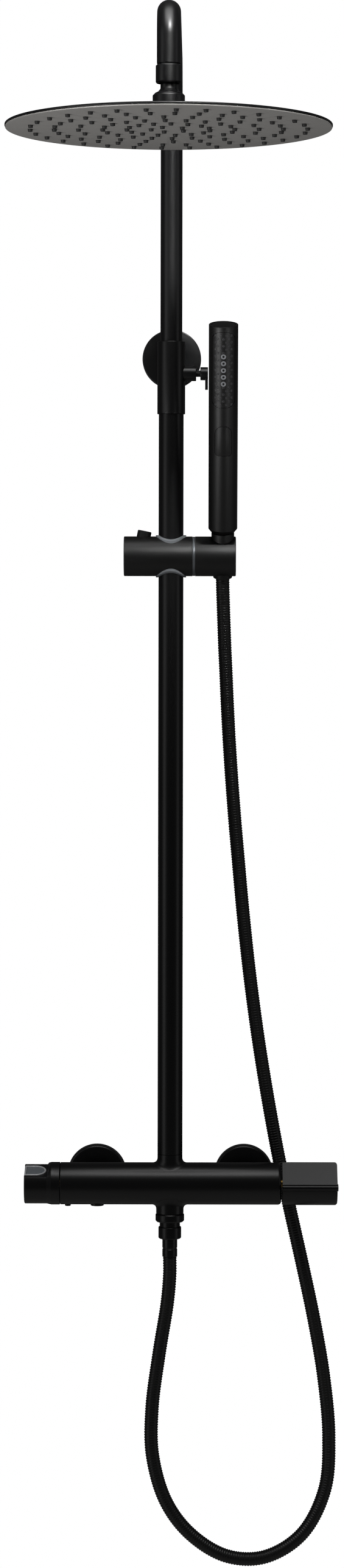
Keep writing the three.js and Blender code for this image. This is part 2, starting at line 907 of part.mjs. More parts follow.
function addSliderBody(group) {
  const { radius, left, right, boreRadius, capThickness } = slider;
  const { axleRadius, brakeRadius, brakeHead } = slider;
  const brakeStart = boreEnd - slider.brakeSet;
  const outside = turned(
    [
      [0, left],
      [radius - 0.8, left],
      [radius, left + 0.8],
      [radius, right],
      [0, right],
    ],
    sides.bar,
  );
  const body = cut(
    solid(alongX(outside)),
    hole(bushRadius + gap, -radius - 1, radius + 1, sides.large),
    alongX(hole(boreRadius, left - 1, boreEnd, sides.large)),
    alongX(hole(brakeRadius + gap, boreEnd - 1, -bushRadius + 3, sides.small)),
    alongX(hole(axleRadius + gap, axleStart - gap, right + 1, sides.small)),
    leaning(hole(release.radius + gap, 5, radius + 10)),
  );
  add(group, "slider_body", body, "blackPlastic");

  const capRadius = boreRadius - gap;
  const cap = rod(capRadius, left, left + capThickness, sides.large);
  add(group, "slider_end_cap", alongX(cap), "blackPlastic");

  const tip = -column.lowerRadius - gap - 0.1;
  const brake = turned([
    [0, brakeStart],
    [brakeHead, brakeStart],
    [brakeHead, brakeStart + 2.5],
    [brakeRadius, brakeStart + 2.5],
    [brakeRadius, tip],
    [0, tip],
  ], sides.small);
  add(group, "slider_brake_pin", alongX(brake), "whitePlastic");

  const { coilRadius, wireRadius, turns, skirt } = release;
  const floor = -boreRadius + wireRadius + coilRadius * Math.tan(radians(release.lean)) + 1.2;
  const spring = coil(coilRadius, wireRadius, floor, skirt - wireRadius - gap, turns);
  add(group, "release_spring", leaning(spring), "steel");

  const axle = alongX(rod(axleRadius, axleStart, slider.axleEnd, sides.small));
  add(group, "tilt_axle", axle, "steel");
}

function addReleaseButton(group) {
  const { radius, top, skirt, stemRadius, stemEnd } = release;
  const button = turned([
    [0, stemEnd],
    [stemRadius, stemEnd],
    [stemRadius, skirt],
    [radius, skirt],
    [radius, top - 0.8],
    [radius - 0.8, top],
    [0, top],
  ]);
  add(group, "release_button", leaning(button), "blackPlastic");
}

// ---- Tilting holder and handset, in the handset's own leaning frame ------------------------------

function addHolder(group) {
  const { radius, right, ringRadius, ringWidth, holderEnd, axleRadius, axleEnd } = slider;
  const ringBore = bore(axleRadius + gap, sides.large);
  const ringStart = right + gap;
  const ring = turned(
    [
      [ringBore, ringStart],
      [ringRadius, ringStart],
      [ringRadius, ringStart + ringWidth],
      [ringBore, ringStart + ringWidth],
    ],
    sides.large,
  );
  add(group, "tilt_ring", alongX(ring), "steelGrey");

  const holderStart = ringStart + ringWidth + gap;
  const outside = turned(
    [
      [0, holderStart],
      [radius, holderStart],
      [radius, holderEnd - 1],
      [radius - 1, holderEnd],
      [0, holderEnd],
    ],
    sides.bar,
  );
  const axleBore = alongX(hole(axleRadius + gap, holderStart - 1, axleEnd + 0.5, sides.small));
  const { holeTop, holeFoot, holeReach } = cone;
  const mouth = turned([
    [0, -holeReach],
    [bore(holeFoot, sides.medium), -holeReach],
    [bore(holeTop, sides.medium), holeReach],
    [0, holeReach],
  ]).translate(handset.axis, 0, 0);
  const holder = cut(solid(alongX(outside)), axleBore, mouth);
  add(group, "handset_holder", holder, "blackPlastic");
}

// Outline with round corners, centred sideways, between two heights.
function roundedPanel(width, bottom, top, radius, footRadius = radius) {
  const half = width / 2;
  const panel = new THREE.Shape();
  panel.moveTo(-half + footRadius, bottom);
  panel.lineTo(half - footRadius, bottom);
  panel.absarc(half - footRadius, bottom + footRadius, footRadius, -Math.PI / 2, 0, false);
  panel.lineTo(half, top - radius);
  panel.absarc(half - radius, top - radius, radius, 0, Math.PI / 2, false);
  panel.lineTo(-half + radius, top);
  panel.absarc(-half + radius, top - radius, radius, Math.PI / 2, Math.PI, false);
  panel.lineTo(-half, bottom + footRadius);
  panel.absarc(-half + footRadius, bottom + footRadius, footRadius, Math.PI, Math.PI * 1.5, false);
  return panel;
}

// An upright outline pushed out of the handset's front, between two depths from its axis.
const frontBlock = (outline, from, to) => extruded(outline, from, to).rotateX(Math.PI / 2);

function addHandset(group) {
  const { radius, bottom, bevel, bevelRadius, top, boreRadius, boreStart, waterway } = handset;
  const { threadRadius, stubBottom } = cone;
  const water = bore(waterway, sides.large);
  const chamber = bore(boreRadius, sides.large);
  const shell = turned(
    [
      [water, stubBottom],
      [threadRadius, stubBottom],
      [threadRadius, bottom],
      [bevelRadius, bottom],
      [radius, bottom + bevel],
      [radius, top - 0.5],
      [radius - 0.5, top],
      [chamber, top],
      [chamber, boreStart],
      [water, boreStart],
    ],
    sides.large,
  );
  const { plateCentre, plateLength, plateWidth, plateCorner, plateInner, plateDepth } = handset;
  const faceOutline = (grow) =>
    roundedPanel(
      plateWidth + 2 * grow,
      plateCentre - plateLength / 2 - grow,
      plateCentre + plateLength / 2 + grow,
      plateCorner + grow,
    );
  const window = frontBlock(faceOutline(gap), plateDepth - gap, radius + 2);
  const { buttonTop, buttonLength, buttonWidth, buttonFloor, buttonUnder } = handset;
  const buttonOutline = (grow) =>
    roundedPanel(
      buttonWidth + 2 * grow,
      buttonTop - buttonLength - grow,
      buttonTop + grow,
      buttonWidth / 2 - 0.5 + grow,
      3 + grow,
    );
  const pocket = frontBlock(buttonOutline(gap), buttonFloor, radius + 2);
  add(group, "handset_body", cut(solid(shell), window, pocket), "blackPlastic");

  const lens = turned(
    [
      [bore(plateInner, sides.large), plateCentre - plateLength],
      [radius, plateCentre - plateLength],
      [radius, plateCentre + plateLength],
      [bore(plateInner, sides.large), plateCentre + plateLength],
    ],
    sides.large,
  );
  const face = solid(lens).intersect(solid(frontBlock(faceOutline(0), plateDepth, radius + 2)));
  add(group, "spray_faceplate", face, "blackPlastic");

  const core = rod(handset.coreRadius, boreStart + gap, top - handset.capThickness - gap);
  add(group, "spray_core", core, "whitePlastic");

  const cap = rod(handset.capRadius, top - handset.capThickness, top - 0.1, sides.large);
  add(group, "handset_end_cap", cap, "blackPlastic");

  const { nutRadius, nutTop, taperTop, nutBottom, nutFoot, hoseBore } = cone;
  const narrow = bore(hoseBore, sides.medium);
  const threaded = bore(threadRadius + gap, sides.medium);
  const nut = turned([
    [narrow, nutBottom],
    [nutFoot, nutBottom],
    [nutRadius, taperTop],
    [nutRadius, nutTop - 0.6],
    [nutRadius - 0.6, nutTop],
    [threaded, nutTop],
    [threaded, stubBottom - 4],
    [narrow, stubBottom - 4],
  ]);
  add(group, "hose_cone_nut", nut, "blackPlastic");

  const ferruleBottom = -3.7;
  const ferrule = turned([
    [bore(4, sides.medium), ferruleBottom],
    [hoseBore - gap, ferruleBottom],
    [hoseBore - gap, stubBottom - 4 + gap],
    [threadRadius, stubBottom - 4 + gap],
    [threadRadius, stubBottom - gap],
    [bore(4, sides.medium), stubBottom - gap],
  ]);
  add(group, "upper_hose_ferrule", ferrule, "brass");

  const outerButton = rod(handset.buttonRadius, 0, buttonTop + 20, sides.large);
  const button = solid(outerButton).intersect(
    solid(frontBlock(buttonOutline(0), buttonUnder, radius + 2)),
  );
  add(group, "spray_select_button", button, "blackPlastic");
}

// ---- Thermostatic bar valve, in the frame of the bar's axis --------------------------------------

function addValveBody(group) {
  const { radius, left, right, boreRadius, boreStart, waterway, inletSpacing } = valve;
  const bar = turned(
    [
      [0, left],
      [radius - 0.6, left],
      [radius, left + 0.6],
      [radius, right - 3],
      [radius - 0.9, right - 0.9],
      [radius - 3, right],
      [0, right],
    ],
    sides.bar,
  );
  const { spigotTop, nippleRadius, nippleTop, grooveRadius, grooveBottom, grooveTop } = valve;
  const shoulder = column.lowerRadius;
  const fillet = 5;
  const spigot = turned(
    [
      [0, 5],
      [shoulder + fillet + 1, 12],
      ...arc(shoulder + fillet, 23.5, fillet, 270, 180, 3),
      [shoulder, spigotTop],
      [nippleRadius, spigotTop],
      [nippleRadius, grooveBottom],
      [grooveRadius, grooveBottom],
      [grooveRadius, grooveTop],
      [nippleRadius, grooveTop],
      [nippleRadius, nippleTop],
      [0, nippleTop],
    ],
    sides.large,
  );
  const { bossRadius, bossBottom, outletBore, stubRadius, flangeRadius, flangeThickness } = valve;
  const boss = turned(
    [
      [0, bossBottom],
      [bossRadius, bossBottom],
      [bossRadius, -23.5],
      ...arc(bossRadius + fillet, -22.5, fillet, 180, 90, 3),
      [bossRadius + fillet, -12],
      [0, -5],
    ],
    sides.large,
  );
  const inletSides = [-1, 1].map((side) => (side * inletSpacing) / 2);
  const stubs = inletSides.map((x) =>
    alongY(
      turned([
        [0, 5],
        [stubRadius, 5],
        [stubRadius, valve.stubEnd - flangeThickness],
        [flangeRadius, valve.stubEnd - flangeThickness],
        [flangeRadius, valve.stubEnd],
        [0, valve.stubEnd],
      ]),
    ).translate(x, 0, 0),
  );
  const inletBores = inletSides.map((x) =>
    alongY(hole(waterway, 0, valve.stubEnd + 1, sides.small)).translate(x, 0, 0),
  );
  const body = cut(
    join(alongX(bar), spigot, boss, ...stubs),
    alongX(hole(boreRadius, left - 1, -boreStart, sides.large)),
    alongX(hole(boreRadius, boreStart, right + 1, sides.large)),
    alongX(hole(waterway, -boreStart - 1, boreStart + 1, sides.small)),
    hole(waterway, 0, nippleTop + 1, sides.small),
    hole(outletBore, bossBottom - 1, outlet.spigotTop + gap, sides.medium),
    hole(outlet.waterway, outlet.spigotTop - 1, 0, sides.small),
    hole(serviceCap.radius + gap, -radius - 5, -boreRadius + 1).translate(serviceCap.x, 0, 0),
    hole(cartridgeScrew.radius + gap, -radius - 5, -boreRadius + 1, sides.small).translate(
      cartridgeScrew.x,
      0,
      0,
    ),
    ...inletBores,
  );
  add(group, "valve_body", body, "blackLacquer");

  const coverTop = -cartridge.radius - gap - 0.6;
  for (const [name, { x, radius: size, stand }] of [
    ["service_cap", serviceCap],
    ["cartridge_grub_screw", cartridgeScrew],
  ]) {
    const bottom = -radius - stand;
    const cover = turned(
      [
        [0, bottom],
        [size - 0.5, bottom],
        [size, bottom + 0.5],
        [size, coverTop],
        [0, coverTop],
      ],
      sides.small,
    );
    add(group, name, cover.translate(x, 0, 0), "blackLacquer");
  }
}

function addCartridges(group) {
  const { radius, inner, outer, spindleRadius, spindleBoreInner } = cartridge;
  const body = () =>
    turned(
      [
        [0, inner],
        [radius - 1, inner],
        [radius, inner + 1],
        [radius, outer],
        [bore(spindleRadius + gap, sides.medium), outer],
        [bore(spindleRadius + gap, sides.medium), spindleBoreInner],
        [0, spindleBoreInner],
      ],
      sides.medium,
    );
  add(group, "thermostat_cartridge", alongX(body()).rotateZ(Math.PI), "brass");
  add(group, "flow_cartridge", alongX(body()), "brass");
}

function addInlets(group) {
  for (const [name, side] of [["hot", -1], ["cold", 1]]) {
    const x = (side * valve.inletSpacing) / 2;
    const { nutFlats, nutStart, nutEnd, nutLip, threadRadius, threadEnd } = inlet;
    const { unionRadius, unionTail } = inlet;
    const hexRadius = bore(nutFlats / 2, 6);
    const nut = cut(
      solid(alongY(rod(hexRadius, nutStart, nutEnd, 6))),
      alongY(hole(valve.stubRadius + gap, nutStart - 1, nutStart + nutLip)),
      alongY(hole(threadRadius + gap, nutStart + nutLip, nutEnd + 1)),
    );
    const nutGeometry = geometryOf(nut).translate(x, 0, 0);
    add(group, `${name}_inlet_nut`, nutGeometry, "blackLacquer");

    const water = bore(valve.waterway, sides.medium);
    const tail = column.wallDistance + unionTail;
    const union = turned([
      [water, valve.stubEnd + gap],
      [threadRadius, valve.stubEnd + gap],
      [threadRadius, threadEnd],
      [unionRadius, threadEnd],
      [unionRadius, tail - 0.8],
      [unionRadius - 0.8, tail],
      [water, tail],
    ]);
    add(group, `${name}_wall_union`, alongY(union).translate(x, 0, 0), "brass");

    const { roseRadius, roseDepth, roseWall, roseEdge } = inlet;
    const passage = bore(unionRadius + gap, sides.large);
    const rose = turned(
      [
        [passage, roseDepth - roseWall],
        [roseRadius - roseEdge, roseDepth - roseWall],
        [roseRadius - roseWall, roseDepth - roseEdge],
        [roseRadius - roseWall, 0],
        [roseRadius, 0],
        ...arc(roseRadius - roseEdge, roseDepth - roseEdge, roseEdge, 0, 90, 3),
        [passage, roseDepth],
      ],
      sides.large,
    );
    const onWall = offWall(rose).translate(x, column.wallDistance, 0);
    add(group, `${name}_escutcheon`, onWall, "blackLacquer");
  }
}

// The milled flat's frame: Z along its normal, which leans out of the wall.
const onFacet = (geometry) => geometry.rotateX(radians(temperature.facetTilt));

function safetyOutline(grow, end) {
  const { buttonCentre, buttonRadius } = temperature;
  const radius = buttonRadius + grow;
  const outline = new THREE.Shape();
  outline.moveTo(end, -radius);
  outline.lineTo(buttonCentre, -radius);
  outline.absarc(buttonCentre, 0, radius, -Math.PI / 2, Math.PI / 2, false);
  outline.lineTo(end, radius);
  return outline;
}

function addTemperatureKnob(group) {
  const { end, radius, edge, flareStart, collarRadius, inner, cavityRadius } = temperature;
  const { cavityEnd, spindleEnd, facet, pocketFloor } = temperature;
  const spindleBore = bore(cartridge.spindleRadius + gap, sides.large);
  const knob = turned(
    [
      [0, end],
      [radius - edge, end],
      [radius, end + edge],
      [radius, flareStart],
      [radius + 0.3, flareStart + 2.2],
      [collarRadius, flareStart + 4.6],
      [collarRadius, inner - 1],
      [collarRadius - 0.6, inner],
      [bore(cavityRadius, sides.large), inner],
      [bore(cavityRadius, sides.large), cavityEnd],
      [spindleBore, cavityEnd],
      [spindleBore, spindleEnd - gap],
      [0, spindleEnd - gap],
    ],
    sides.large,
  );
  const flat = [
    corner(end - 1, facet),
    corner(flareStart + 0.5, facet),
    corner(flareStart + 4, radius + 1.5),
    corner(flareStart + 4, radius + 6),
    corner(end - 1, radius + 6),
  ];
  const milling = extruded(flat, -30, 30).rotateX(Math.PI / 2);
  const pocket = extruded(safetyOutline(gap, end - 1), pocketFloor, facet + 6);
  const handle = cut(solid(alongX(knob)), onFacet(milling), onFacet(pocket));
  add(group, "temperature_handle", handle, "blackLacquer");

  const spindle = rod(
    cartridge.spindleRadius,
    spindleEnd,
    -cartridge.spindleInner,
    sides.small,
  );
  add(group, "thermostat_spindle", alongX(spindle), "brass");

  const { coilRadius, wireRadius, buttonUnder, buttonCentre } = temperature;
  const spring = coil(
    coilRadius,
    wireRadius,
    pocketFloor + wireRadius + 0.2,
    buttonUnder - wireRadius - 0.2,
    2,
  ).translate(buttonCentre, 0, 0);
  add(group, "stop_button_spring", onFacet(spring), "steel");
}

function addSafetyButton(group) {
  const { buttonUnder, buttonTop, buttonChamfer, buttonSlope, buttonEnd } = temperature;
  const button = extruded(
    safetyOutline(0, buttonEnd),
    buttonUnder + buttonChamfer,
    buttonTop - buttonChamfer,
    {
      bevelEnabled: true,
      bevelThickness: buttonChamfer,
      bevelSize: buttonSlope,
      bevelOffset: -buttonSlope,
      bevelSegments: 1,
    },
  );
  add(group, "safety_stop_button", onFacet(button), "greyPlastic");
}

function addFlowKnob(group) {
  const { start, end, radius, edge, facet, facetTilt, cavityRadius, cavityEnd } = flow;
  const { spindleEnd, lipRadius, lipStart, lipEnd } = flow;
  const spindleBore = bore(cartridge.spindleRadius + gap, sides.large);
  const knob = turned(
    [
      [bore(cavityRadius, sides.large), start],
      [radius - 0.6, start],
      [radius, start + 0.6],
      [radius, end - edge],
      ...arc(radius - edge, end - edge, edge, 30, 60, 1),
      [radius - edge, end],
      [0, end],
      [0, spindleEnd + gap],
      [spindleBore, spindleEnd + gap],
      [spindleBore, cavityEnd],
      [bore(cavityRadius, sides.large), cavityEnd],
    ],
    sides.large,
  );
  const milling = new THREE.BoxGeometry(end - start + 4, 60, 20)
    .translate((start + end) / 2, 0, facet + 10)
    .rotateX(radians(facetTilt));
  // Finger lip along the flat's lower edge: front distance and height about the axis.
  const lip = extruded(
    [
      corner(16, 2),
      corner(19.1, 1.8),
      corner(lipRadius - 0.9, 1.1),
      corner(lipRadius, 0.2),
      corner(lipRadius, -2),
      corner(lipRadius - 0.8, -3.1),
      corner(20.6, -4.6),
      corner(16, -4.6),
    ],
    lipStart,
    lipEnd,
  );
  // The outline's front direction becomes -Y and its height stays Z.
  const lipInPlace = lip.applyMatrix4(
    new THREE.Matrix4().set(0, 0, 1, 0, -1, 0, 0, 0, 0, 1, 0, 0, 0, 0, 0, 1),
  );
  const innerBore = alongX(rod(bore(cavityRadius, sides.large), start - 1, cavityEnd, sides.large));
  const handle = cut(solid(alongX(knob)), milling).add(solid(lipInPlace)).subtract(solid(innerBore));
  add(group, "flow_handle", handle, "blackLacquer");

  const spindle = rod(cartridge.spindleRadius, cartridge.spindleInner, spindleEnd, sides.small);
  add(group, "flow_spindle", alongX(spindle), "brass");
}

// ---- Hose outlet under the bar, and the hose -----------------------------------------------------

function addOutlet(group) {
  const { ringRadius, ringTop, ringBottom, spigotRadius, spigotTop, neckRadius } = outlet;
  const { neckBottom, waterway, nutRadius, nutTop, nutBottom, ferruleRadius } = outlet;
  const water = bore(waterway, sides.medium);
  const union = turned([
    [water, neckBottom],
    [neckRadius, neckBottom],
    [neckRadius, ringBottom],
    [ringRadius - 1.2, ringBottom],
    [ringRadius, ringBottom + 1.4],
    [ringRadius, ringTop - 1.4],
    [ringRadius - 1.2, ringTop],
    [spigotRadius, ringTop],
    [spigotRadius, spigotTop],
    [water, spigotTop],
  ]);
  add(group, "hose_outlet_union", union, "blackLacquer");

  const { ferruleStem, ferruleBottom } = outlet;
  const threaded = bore(neckRadius + gap, sides.medium);
  const narrow = bore(ferruleStem + gap, sides.medium);
  const nut = turned([
    [narrow, nutBottom],
    [nutRadius - 0.9, nutBottom],
    [nutRadius, nutBottom + 1],
    [nutRadius, nutTop - 1],
    [nutRadius - 0.9, nutTop],
    [threaded, nutTop],
    [threaded, nutBottom + 2.5],
    [narrow, nutBottom + 2.5],
  ]);
  add(group, "lower_hose_nut", nut, "blackLacquer");

  const stemTop = neckBottom - gap;
  const ferrule = turned([
    [bore(4, sides.medium), ferruleBottom],
    [ferruleRadius, ferruleBottom],
    [ferruleRadius, nutBottom - gap],
    [ferruleStem, nutBottom - gap],
    [ferruleStem, nutBottom + 2.5 + gap],
    [9.6, nutBottom + 2.5 + gap],
    [9.6, stemTop],
    [bore(4, sides.medium), stemTop],
  ]);
  add(group, "lower_hose_ferrule", ferrule, "blackLacquer");
}

function addHose(group, name, route) {
  const curve = new THREE.CatmullRomCurve3(
    route.map((point) => new THREE.Vector3(...point)),
    false,
    "centripetal",
  );
  const steps = Math.ceil(curve.getLength() / hoseStep);
  add(group, name, swept(curve, hoseRadius, hoseSides, steps), "blackPlastic");
}

// ---- Assembly ------------------------------------------------------------------------------------

const shower = new THREE.Group();

const riserAxis = place(0, -column.wallDistance, 0);
const lockAxis = place(0, 0, lock.height);
const headAxis = place(0, -column.armReach, 0);
riserAxis.add(lockAxis, headAxis);
addBracket(shower);
addLowerRiser(riserAxis);
addHeightLock(lockAxis);
addTelescope(riserAxis);
addBallJointSeat(headAxis);
addFrictionRing(headAxis);
addHead(headAxis);

const sliderAxis = place(0, -column.wallDistance, slider.height);
const tiltAxis = place(0, 0, 0);
tiltAxis.rotation.x = radians(slider.tilt);
const handsetAxis = place(handset.axis, 0, 0);
tiltAxis.add(handsetAxis);
sliderAxis.add(tiltAxis);
addSliderBush(sliderAxis);
addSliderBody(sliderAxis);
addReleaseButton(sliderAxis);
addHolder(tiltAxis);
addHandset(handsetAxis);

const barAxis = place(0, -column.wallDistance, valve.height);
addValveBody(barAxis);
addCartridges(barAxis);
addInlets(barAxis);
addTemperatureKnob(barAxis);
addSafetyButton(barAxis);
addFlowKnob(barAxis);
addOutlet(barAxis);

Object.entries(hoseRoutes).forEach(([name, route]) => addHose(shower, name, route));

shower.add(riserAxis, sliderAxis, barAxis);

export default shower;
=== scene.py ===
"""Rainfall shower column: thermostatic bar valve, telescopic riser, flat rain head, stick handset.

Everything is black-coated brass and steel or black ABS, so the form shows through soft highlights.
Sizes are millimetres in the making and metres in the mesh. X is to the right, Y into the wall, Z up,
and the origin is the middle of the upper bracket's back face.
"""
from math import acos, atan2, cos, pi, radians, sin, sqrt, tan

import bmesh
import bpy
import numpy as np
from mathutils import Matrix, Vector


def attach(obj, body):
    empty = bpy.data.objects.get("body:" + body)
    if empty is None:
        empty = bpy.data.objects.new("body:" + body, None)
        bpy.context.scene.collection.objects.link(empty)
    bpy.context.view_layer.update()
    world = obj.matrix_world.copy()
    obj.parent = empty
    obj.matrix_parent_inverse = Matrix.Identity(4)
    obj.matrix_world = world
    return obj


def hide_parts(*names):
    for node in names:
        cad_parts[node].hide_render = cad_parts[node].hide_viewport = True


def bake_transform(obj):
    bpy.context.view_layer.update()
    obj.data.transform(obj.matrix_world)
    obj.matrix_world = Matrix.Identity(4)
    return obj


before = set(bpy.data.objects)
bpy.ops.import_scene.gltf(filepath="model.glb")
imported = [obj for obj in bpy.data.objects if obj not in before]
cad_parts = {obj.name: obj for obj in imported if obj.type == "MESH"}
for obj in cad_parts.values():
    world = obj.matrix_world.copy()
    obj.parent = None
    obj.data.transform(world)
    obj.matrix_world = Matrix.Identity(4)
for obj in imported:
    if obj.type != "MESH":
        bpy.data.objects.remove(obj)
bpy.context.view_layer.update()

# ---------------------------------------------------------------------------------------- camera
# A long lens, level with the middle of the riser, a little to its right, square to the wall.

camera_data = bpy.data.cameras.new("camera")
camera_data.sensor_fit = "VERTICAL"
camera_data.sensor_height = 36.0
camera_data.lens = 82.9
camera_data.shift_x = -0.0183
camera_data.shift_y = -0.1009
camera = bpy.data.objects.new("camera", camera_data)
camera.location = (0.030, -3.700, -0.2726)
camera.rotation_euler = (radians(90), radians(-0.1), 0)
bpy.context.scene.collection.objects.link(camera)
bpy.context.scene.camera = camera
bpy.context.scene.view_settings.view_transform = "Standard"

# ---------------------------------------------------------------------------------------- the hose
# A 14 mm ribbed PVC shower hose, moulded round a coiled strip. It hangs from the handset's cone nut,
# makes one loop under the bar and comes back up into the outlet. Its upper end is three short
# stretches, by the handset, the tilting holder and the slider.

MM = 0.001
HOSE_DIAMETER = 14.0
RIB_PITCH = 2.6
RIB_DEPTH = 0.6


def node(tree, kind, settings=None, **links):
    """A node of that kind. settings are its properties; links fill its sockets by name."""
    made = tree.nodes.new(kind)
    for key, value in (settings or {}).items():
        setattr(made, key, value)
    for key, value in links.items():
        by_number = key.startswith("at")
        socket = made.inputs[int(key[2:]) if by_number else key.replace("_", " ")]
        if isinstance(value, bpy.types.NodeSocket):
            tree.links.new(value, socket)
        else:
            socket.default_value = value
    return made


def srgb(hex_colour):
    """Linear RGBA of an sRGB hex colour: the standard curve, ((c + 0.055) / 1.055) to the power 2.4."""
    value = np.array([int(hex_colour[i:i + 2], 16) / 255 for i in (1, 3, 5)])
    linear = np.where(value <= 0.04045, value / 12.92, ((value + 0.055) / 1.055) ** 2.4)
    return (*linear, 1.0)


def surface(name, colour, roughness, metallic=0.0, coat=0.0):
    """A material with its Principled shader, and the tree and coordinates to build detail on it."""
    material = bpy.data.materials.new(name)
    material.use_nodes = True
    tree = material.node_tree
    shader = tree.nodes["Principled BSDF"]
    shader.inputs["Base Color"].default_value = srgb(colour)
    shader.inputs["Roughness"].default_value = roughness
    shader.inputs["Metallic"].default_value = metallic
    shader.inputs["Coat Weight"].default_value = coat
    place = node(tree, "ShaderNodeTexCoord").outputs["Object"]
    return material, tree, shader, place


def grain(tree, shader, place, size_mm, height_mm, rough_low, rough_high, detail=2.0):
    """Noise of one grain size that drives both a bump and the spread of roughness."""
    noise = node(tree, "ShaderNodeTexNoise", Vector=place, Scale=1000 / size_mm, Detail=detail)
    rough = node(
        tree, "ShaderNodeMapRange", Value=noise.outputs["Fac"], To_Min=rough_low, To_Max=rough_high
    )
    bump = node(
        tree, "ShaderNodeBump", Height=noise.outputs["Fac"], Distance=height_mm * MM, Strength=1.0
    )
    tree.links.new(rough.outputs["Result"], shader.inputs["Roughness"])
    tree.links.new(bump.outputs["Normal"], shader.inputs["Normal"])
    return noise


# Plasticised PVC: black, with the low gloss of a fresh moulding, duller down in its grooves.
hose_pvc, tree, shader, place = surface("ribbed_black_pvc", "#0a0a0a", 0.36)
grain(tree, shader, place, 1.8, 0.02, 0.3, 0.44)


def mesh_object(name, points, faces):
    """An object of these points, in millimetres, whose faces look outwards and shade smoothly."""
    mesh = bpy.data.meshes.new(name)
    mesh.from_pydata((points * MM).tolist(), [], faces)
    work = bmesh.new()
    work.from_mesh(mesh)
    bmesh.ops.remove_doubles(work, verts=work.verts, dist=1e-6)
    bmesh.ops.dissolve_degenerate(work, edges=work.edges, dist=1e-7)
    bmesh.ops.recalc_face_normals(work, faces=work.faces)
    work.to_mesh(mesh)
    work.free()
    made = bpy.data.objects.new(name, mesh)
    bpy.context.scene.collection.objects.link(made)
    shade(made)
    return made


def shade(piece, angle=32):
    """Smooth shading, broken where two faces meet more sharply than angle."""
    piece.data.shade_smooth()
    piece.data.set_sharp_from_angle(angle=radians(angle))


def grid_faces(rows, columns, loop_rows=False, loop_columns=True):
    """Four-sided faces of a grid of points, numbered row by row, closed round either way."""
    down = np.arange(rows if loop_rows else rows - 1)[:, None]
    across = np.arange(columns if loop_columns else columns - 1)[None, :]
    below = (down + 1) % rows
    right = (across + 1) % columns
    corners = [down * columns + across, down * columns + right,
               below * columns + right, below * columns + across]
    return np.stack([np.broadcast_to(c, (down.size, across.size)) for c in corners], -1).reshape(-1, 4)


def finish(piece, material, slot, body, *nodes):
    """Gives a piece its material, sets it riding and hides the CAD nodes it stands for."""
    piece.data.materials.clear()
    piece.data.materials.append(material)
    if body:
        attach(piece, body)
    if nodes:
        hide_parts(*nodes)
    return piece


def smooth_route(route, spacing):
    """Centripetal Catmull-Rom curve through the points, then evenly spaced points along it.

    On each span the curve is the blend of the lines through its four neighbouring points, with
    parameters that grow as the square root of the distance between points.
    """
    points = np.array(route, float)
    points = np.vstack([2 * points[0] - points[1], points, 2 * points[-1] - points[-2]])
    knots = np.concatenate([[0], np.cumsum(np.sqrt(np.linalg.norm(np.diff(points, axis=0), axis=1)))])
    spans = []
    for i in range(1, len(points) - 2):
        t0, t1, t2, t3 = knots[i - 1:i + 3]
        p0, p1, p2, p3 = points[i - 1:i + 3]
        t = np.linspace(t1, t2, 40, endpoint=False)[:, None]
        a1 = (t1 - t) / (t1 - t0) * p0 + (t - t0) / (t1 - t0) * p1
        a2 = (t2 - t) / (t2 - t1) * p1 + (t - t1) / (t2 - t1) * p2
        a3 = (t3 - t) / (t3 - t2) * p2 + (t - t2) / (t3 - t2) * p3
        b1 = (t2 - t) / (t2 - t0) * a1 + (t - t0) / (t2 - t0) * a2
        b2 = (t3 - t) / (t3 - t1) * a2 + (t - t1) / (t3 - t1) * a3
        spans.append((t2 - t) / (t2 - t1) * b1 + (t - t1) / (t2 - t1) * b2)
    curve = np.vstack(spans + [points[-2:-1]])
    length = np.concatenate([[0], np.cumsum(np.linalg.norm(np.diff(curve, axis=0), axis=1))])
    along = np.linspace(0, length[-1], max(2, round(length[-1] / spacing) + 1))
    return np.stack([np.interp(along, length, curve[:, k]) for k in range(3)], -1), along


def ribbed_hose(name, route, phase):
    """A tube whose radius dips by the rib's depth once each pitch along its centreline.

    Each ring lies in the plane square to the curve, spanned by the wall's normal crossed with the
    tangent, and the radius is R - depth / 2 * (1 - cos(2 pi s / pitch)).
    """
    path, along = smooth_route(route, RIB_PITCH / 5)
    tangent = np.gradient(path, axis=0)
    tangent /= np.linalg.norm(tangent, axis=1)[:, None]
    side = np.cross(tangent, [0.0, 1.0, 0.0])
    side /= np.linalg.norm(side, axis=1)[:, None]
    other = np.cross(side, tangent)
    angle = np.linspace(0, 2 * pi, 22, endpoint=False)
    radius = HOSE_DIAMETER / 2 - RIB_DEPTH / 2 * (1 - np.cos(2 * pi * (along + phase) / RIB_PITCH))
    ring = np.cos(angle)[None, :, None] * side[:, None] + np.sin(angle)[None, :, None] * other[:, None]
    grid = path[:, None] + radius[:, None, None] * ring
    rows, columns = grid.shape[:2]
    points = np.vstack([grid.reshape(-1, 3), path[:1], path[-1:]])
    faces = grid_faces(rows, columns).tolist()
    for row, centre in ((0, rows * columns), (rows - 1, rows * columns + 1)):
        faces += [(centre, row * columns + i, row * columns + (i + 1) % columns) for i in range(columns)]
    tube = mesh_object(name, points, faces)
    shade(tube, 60)
    return tube, path, along[-1]


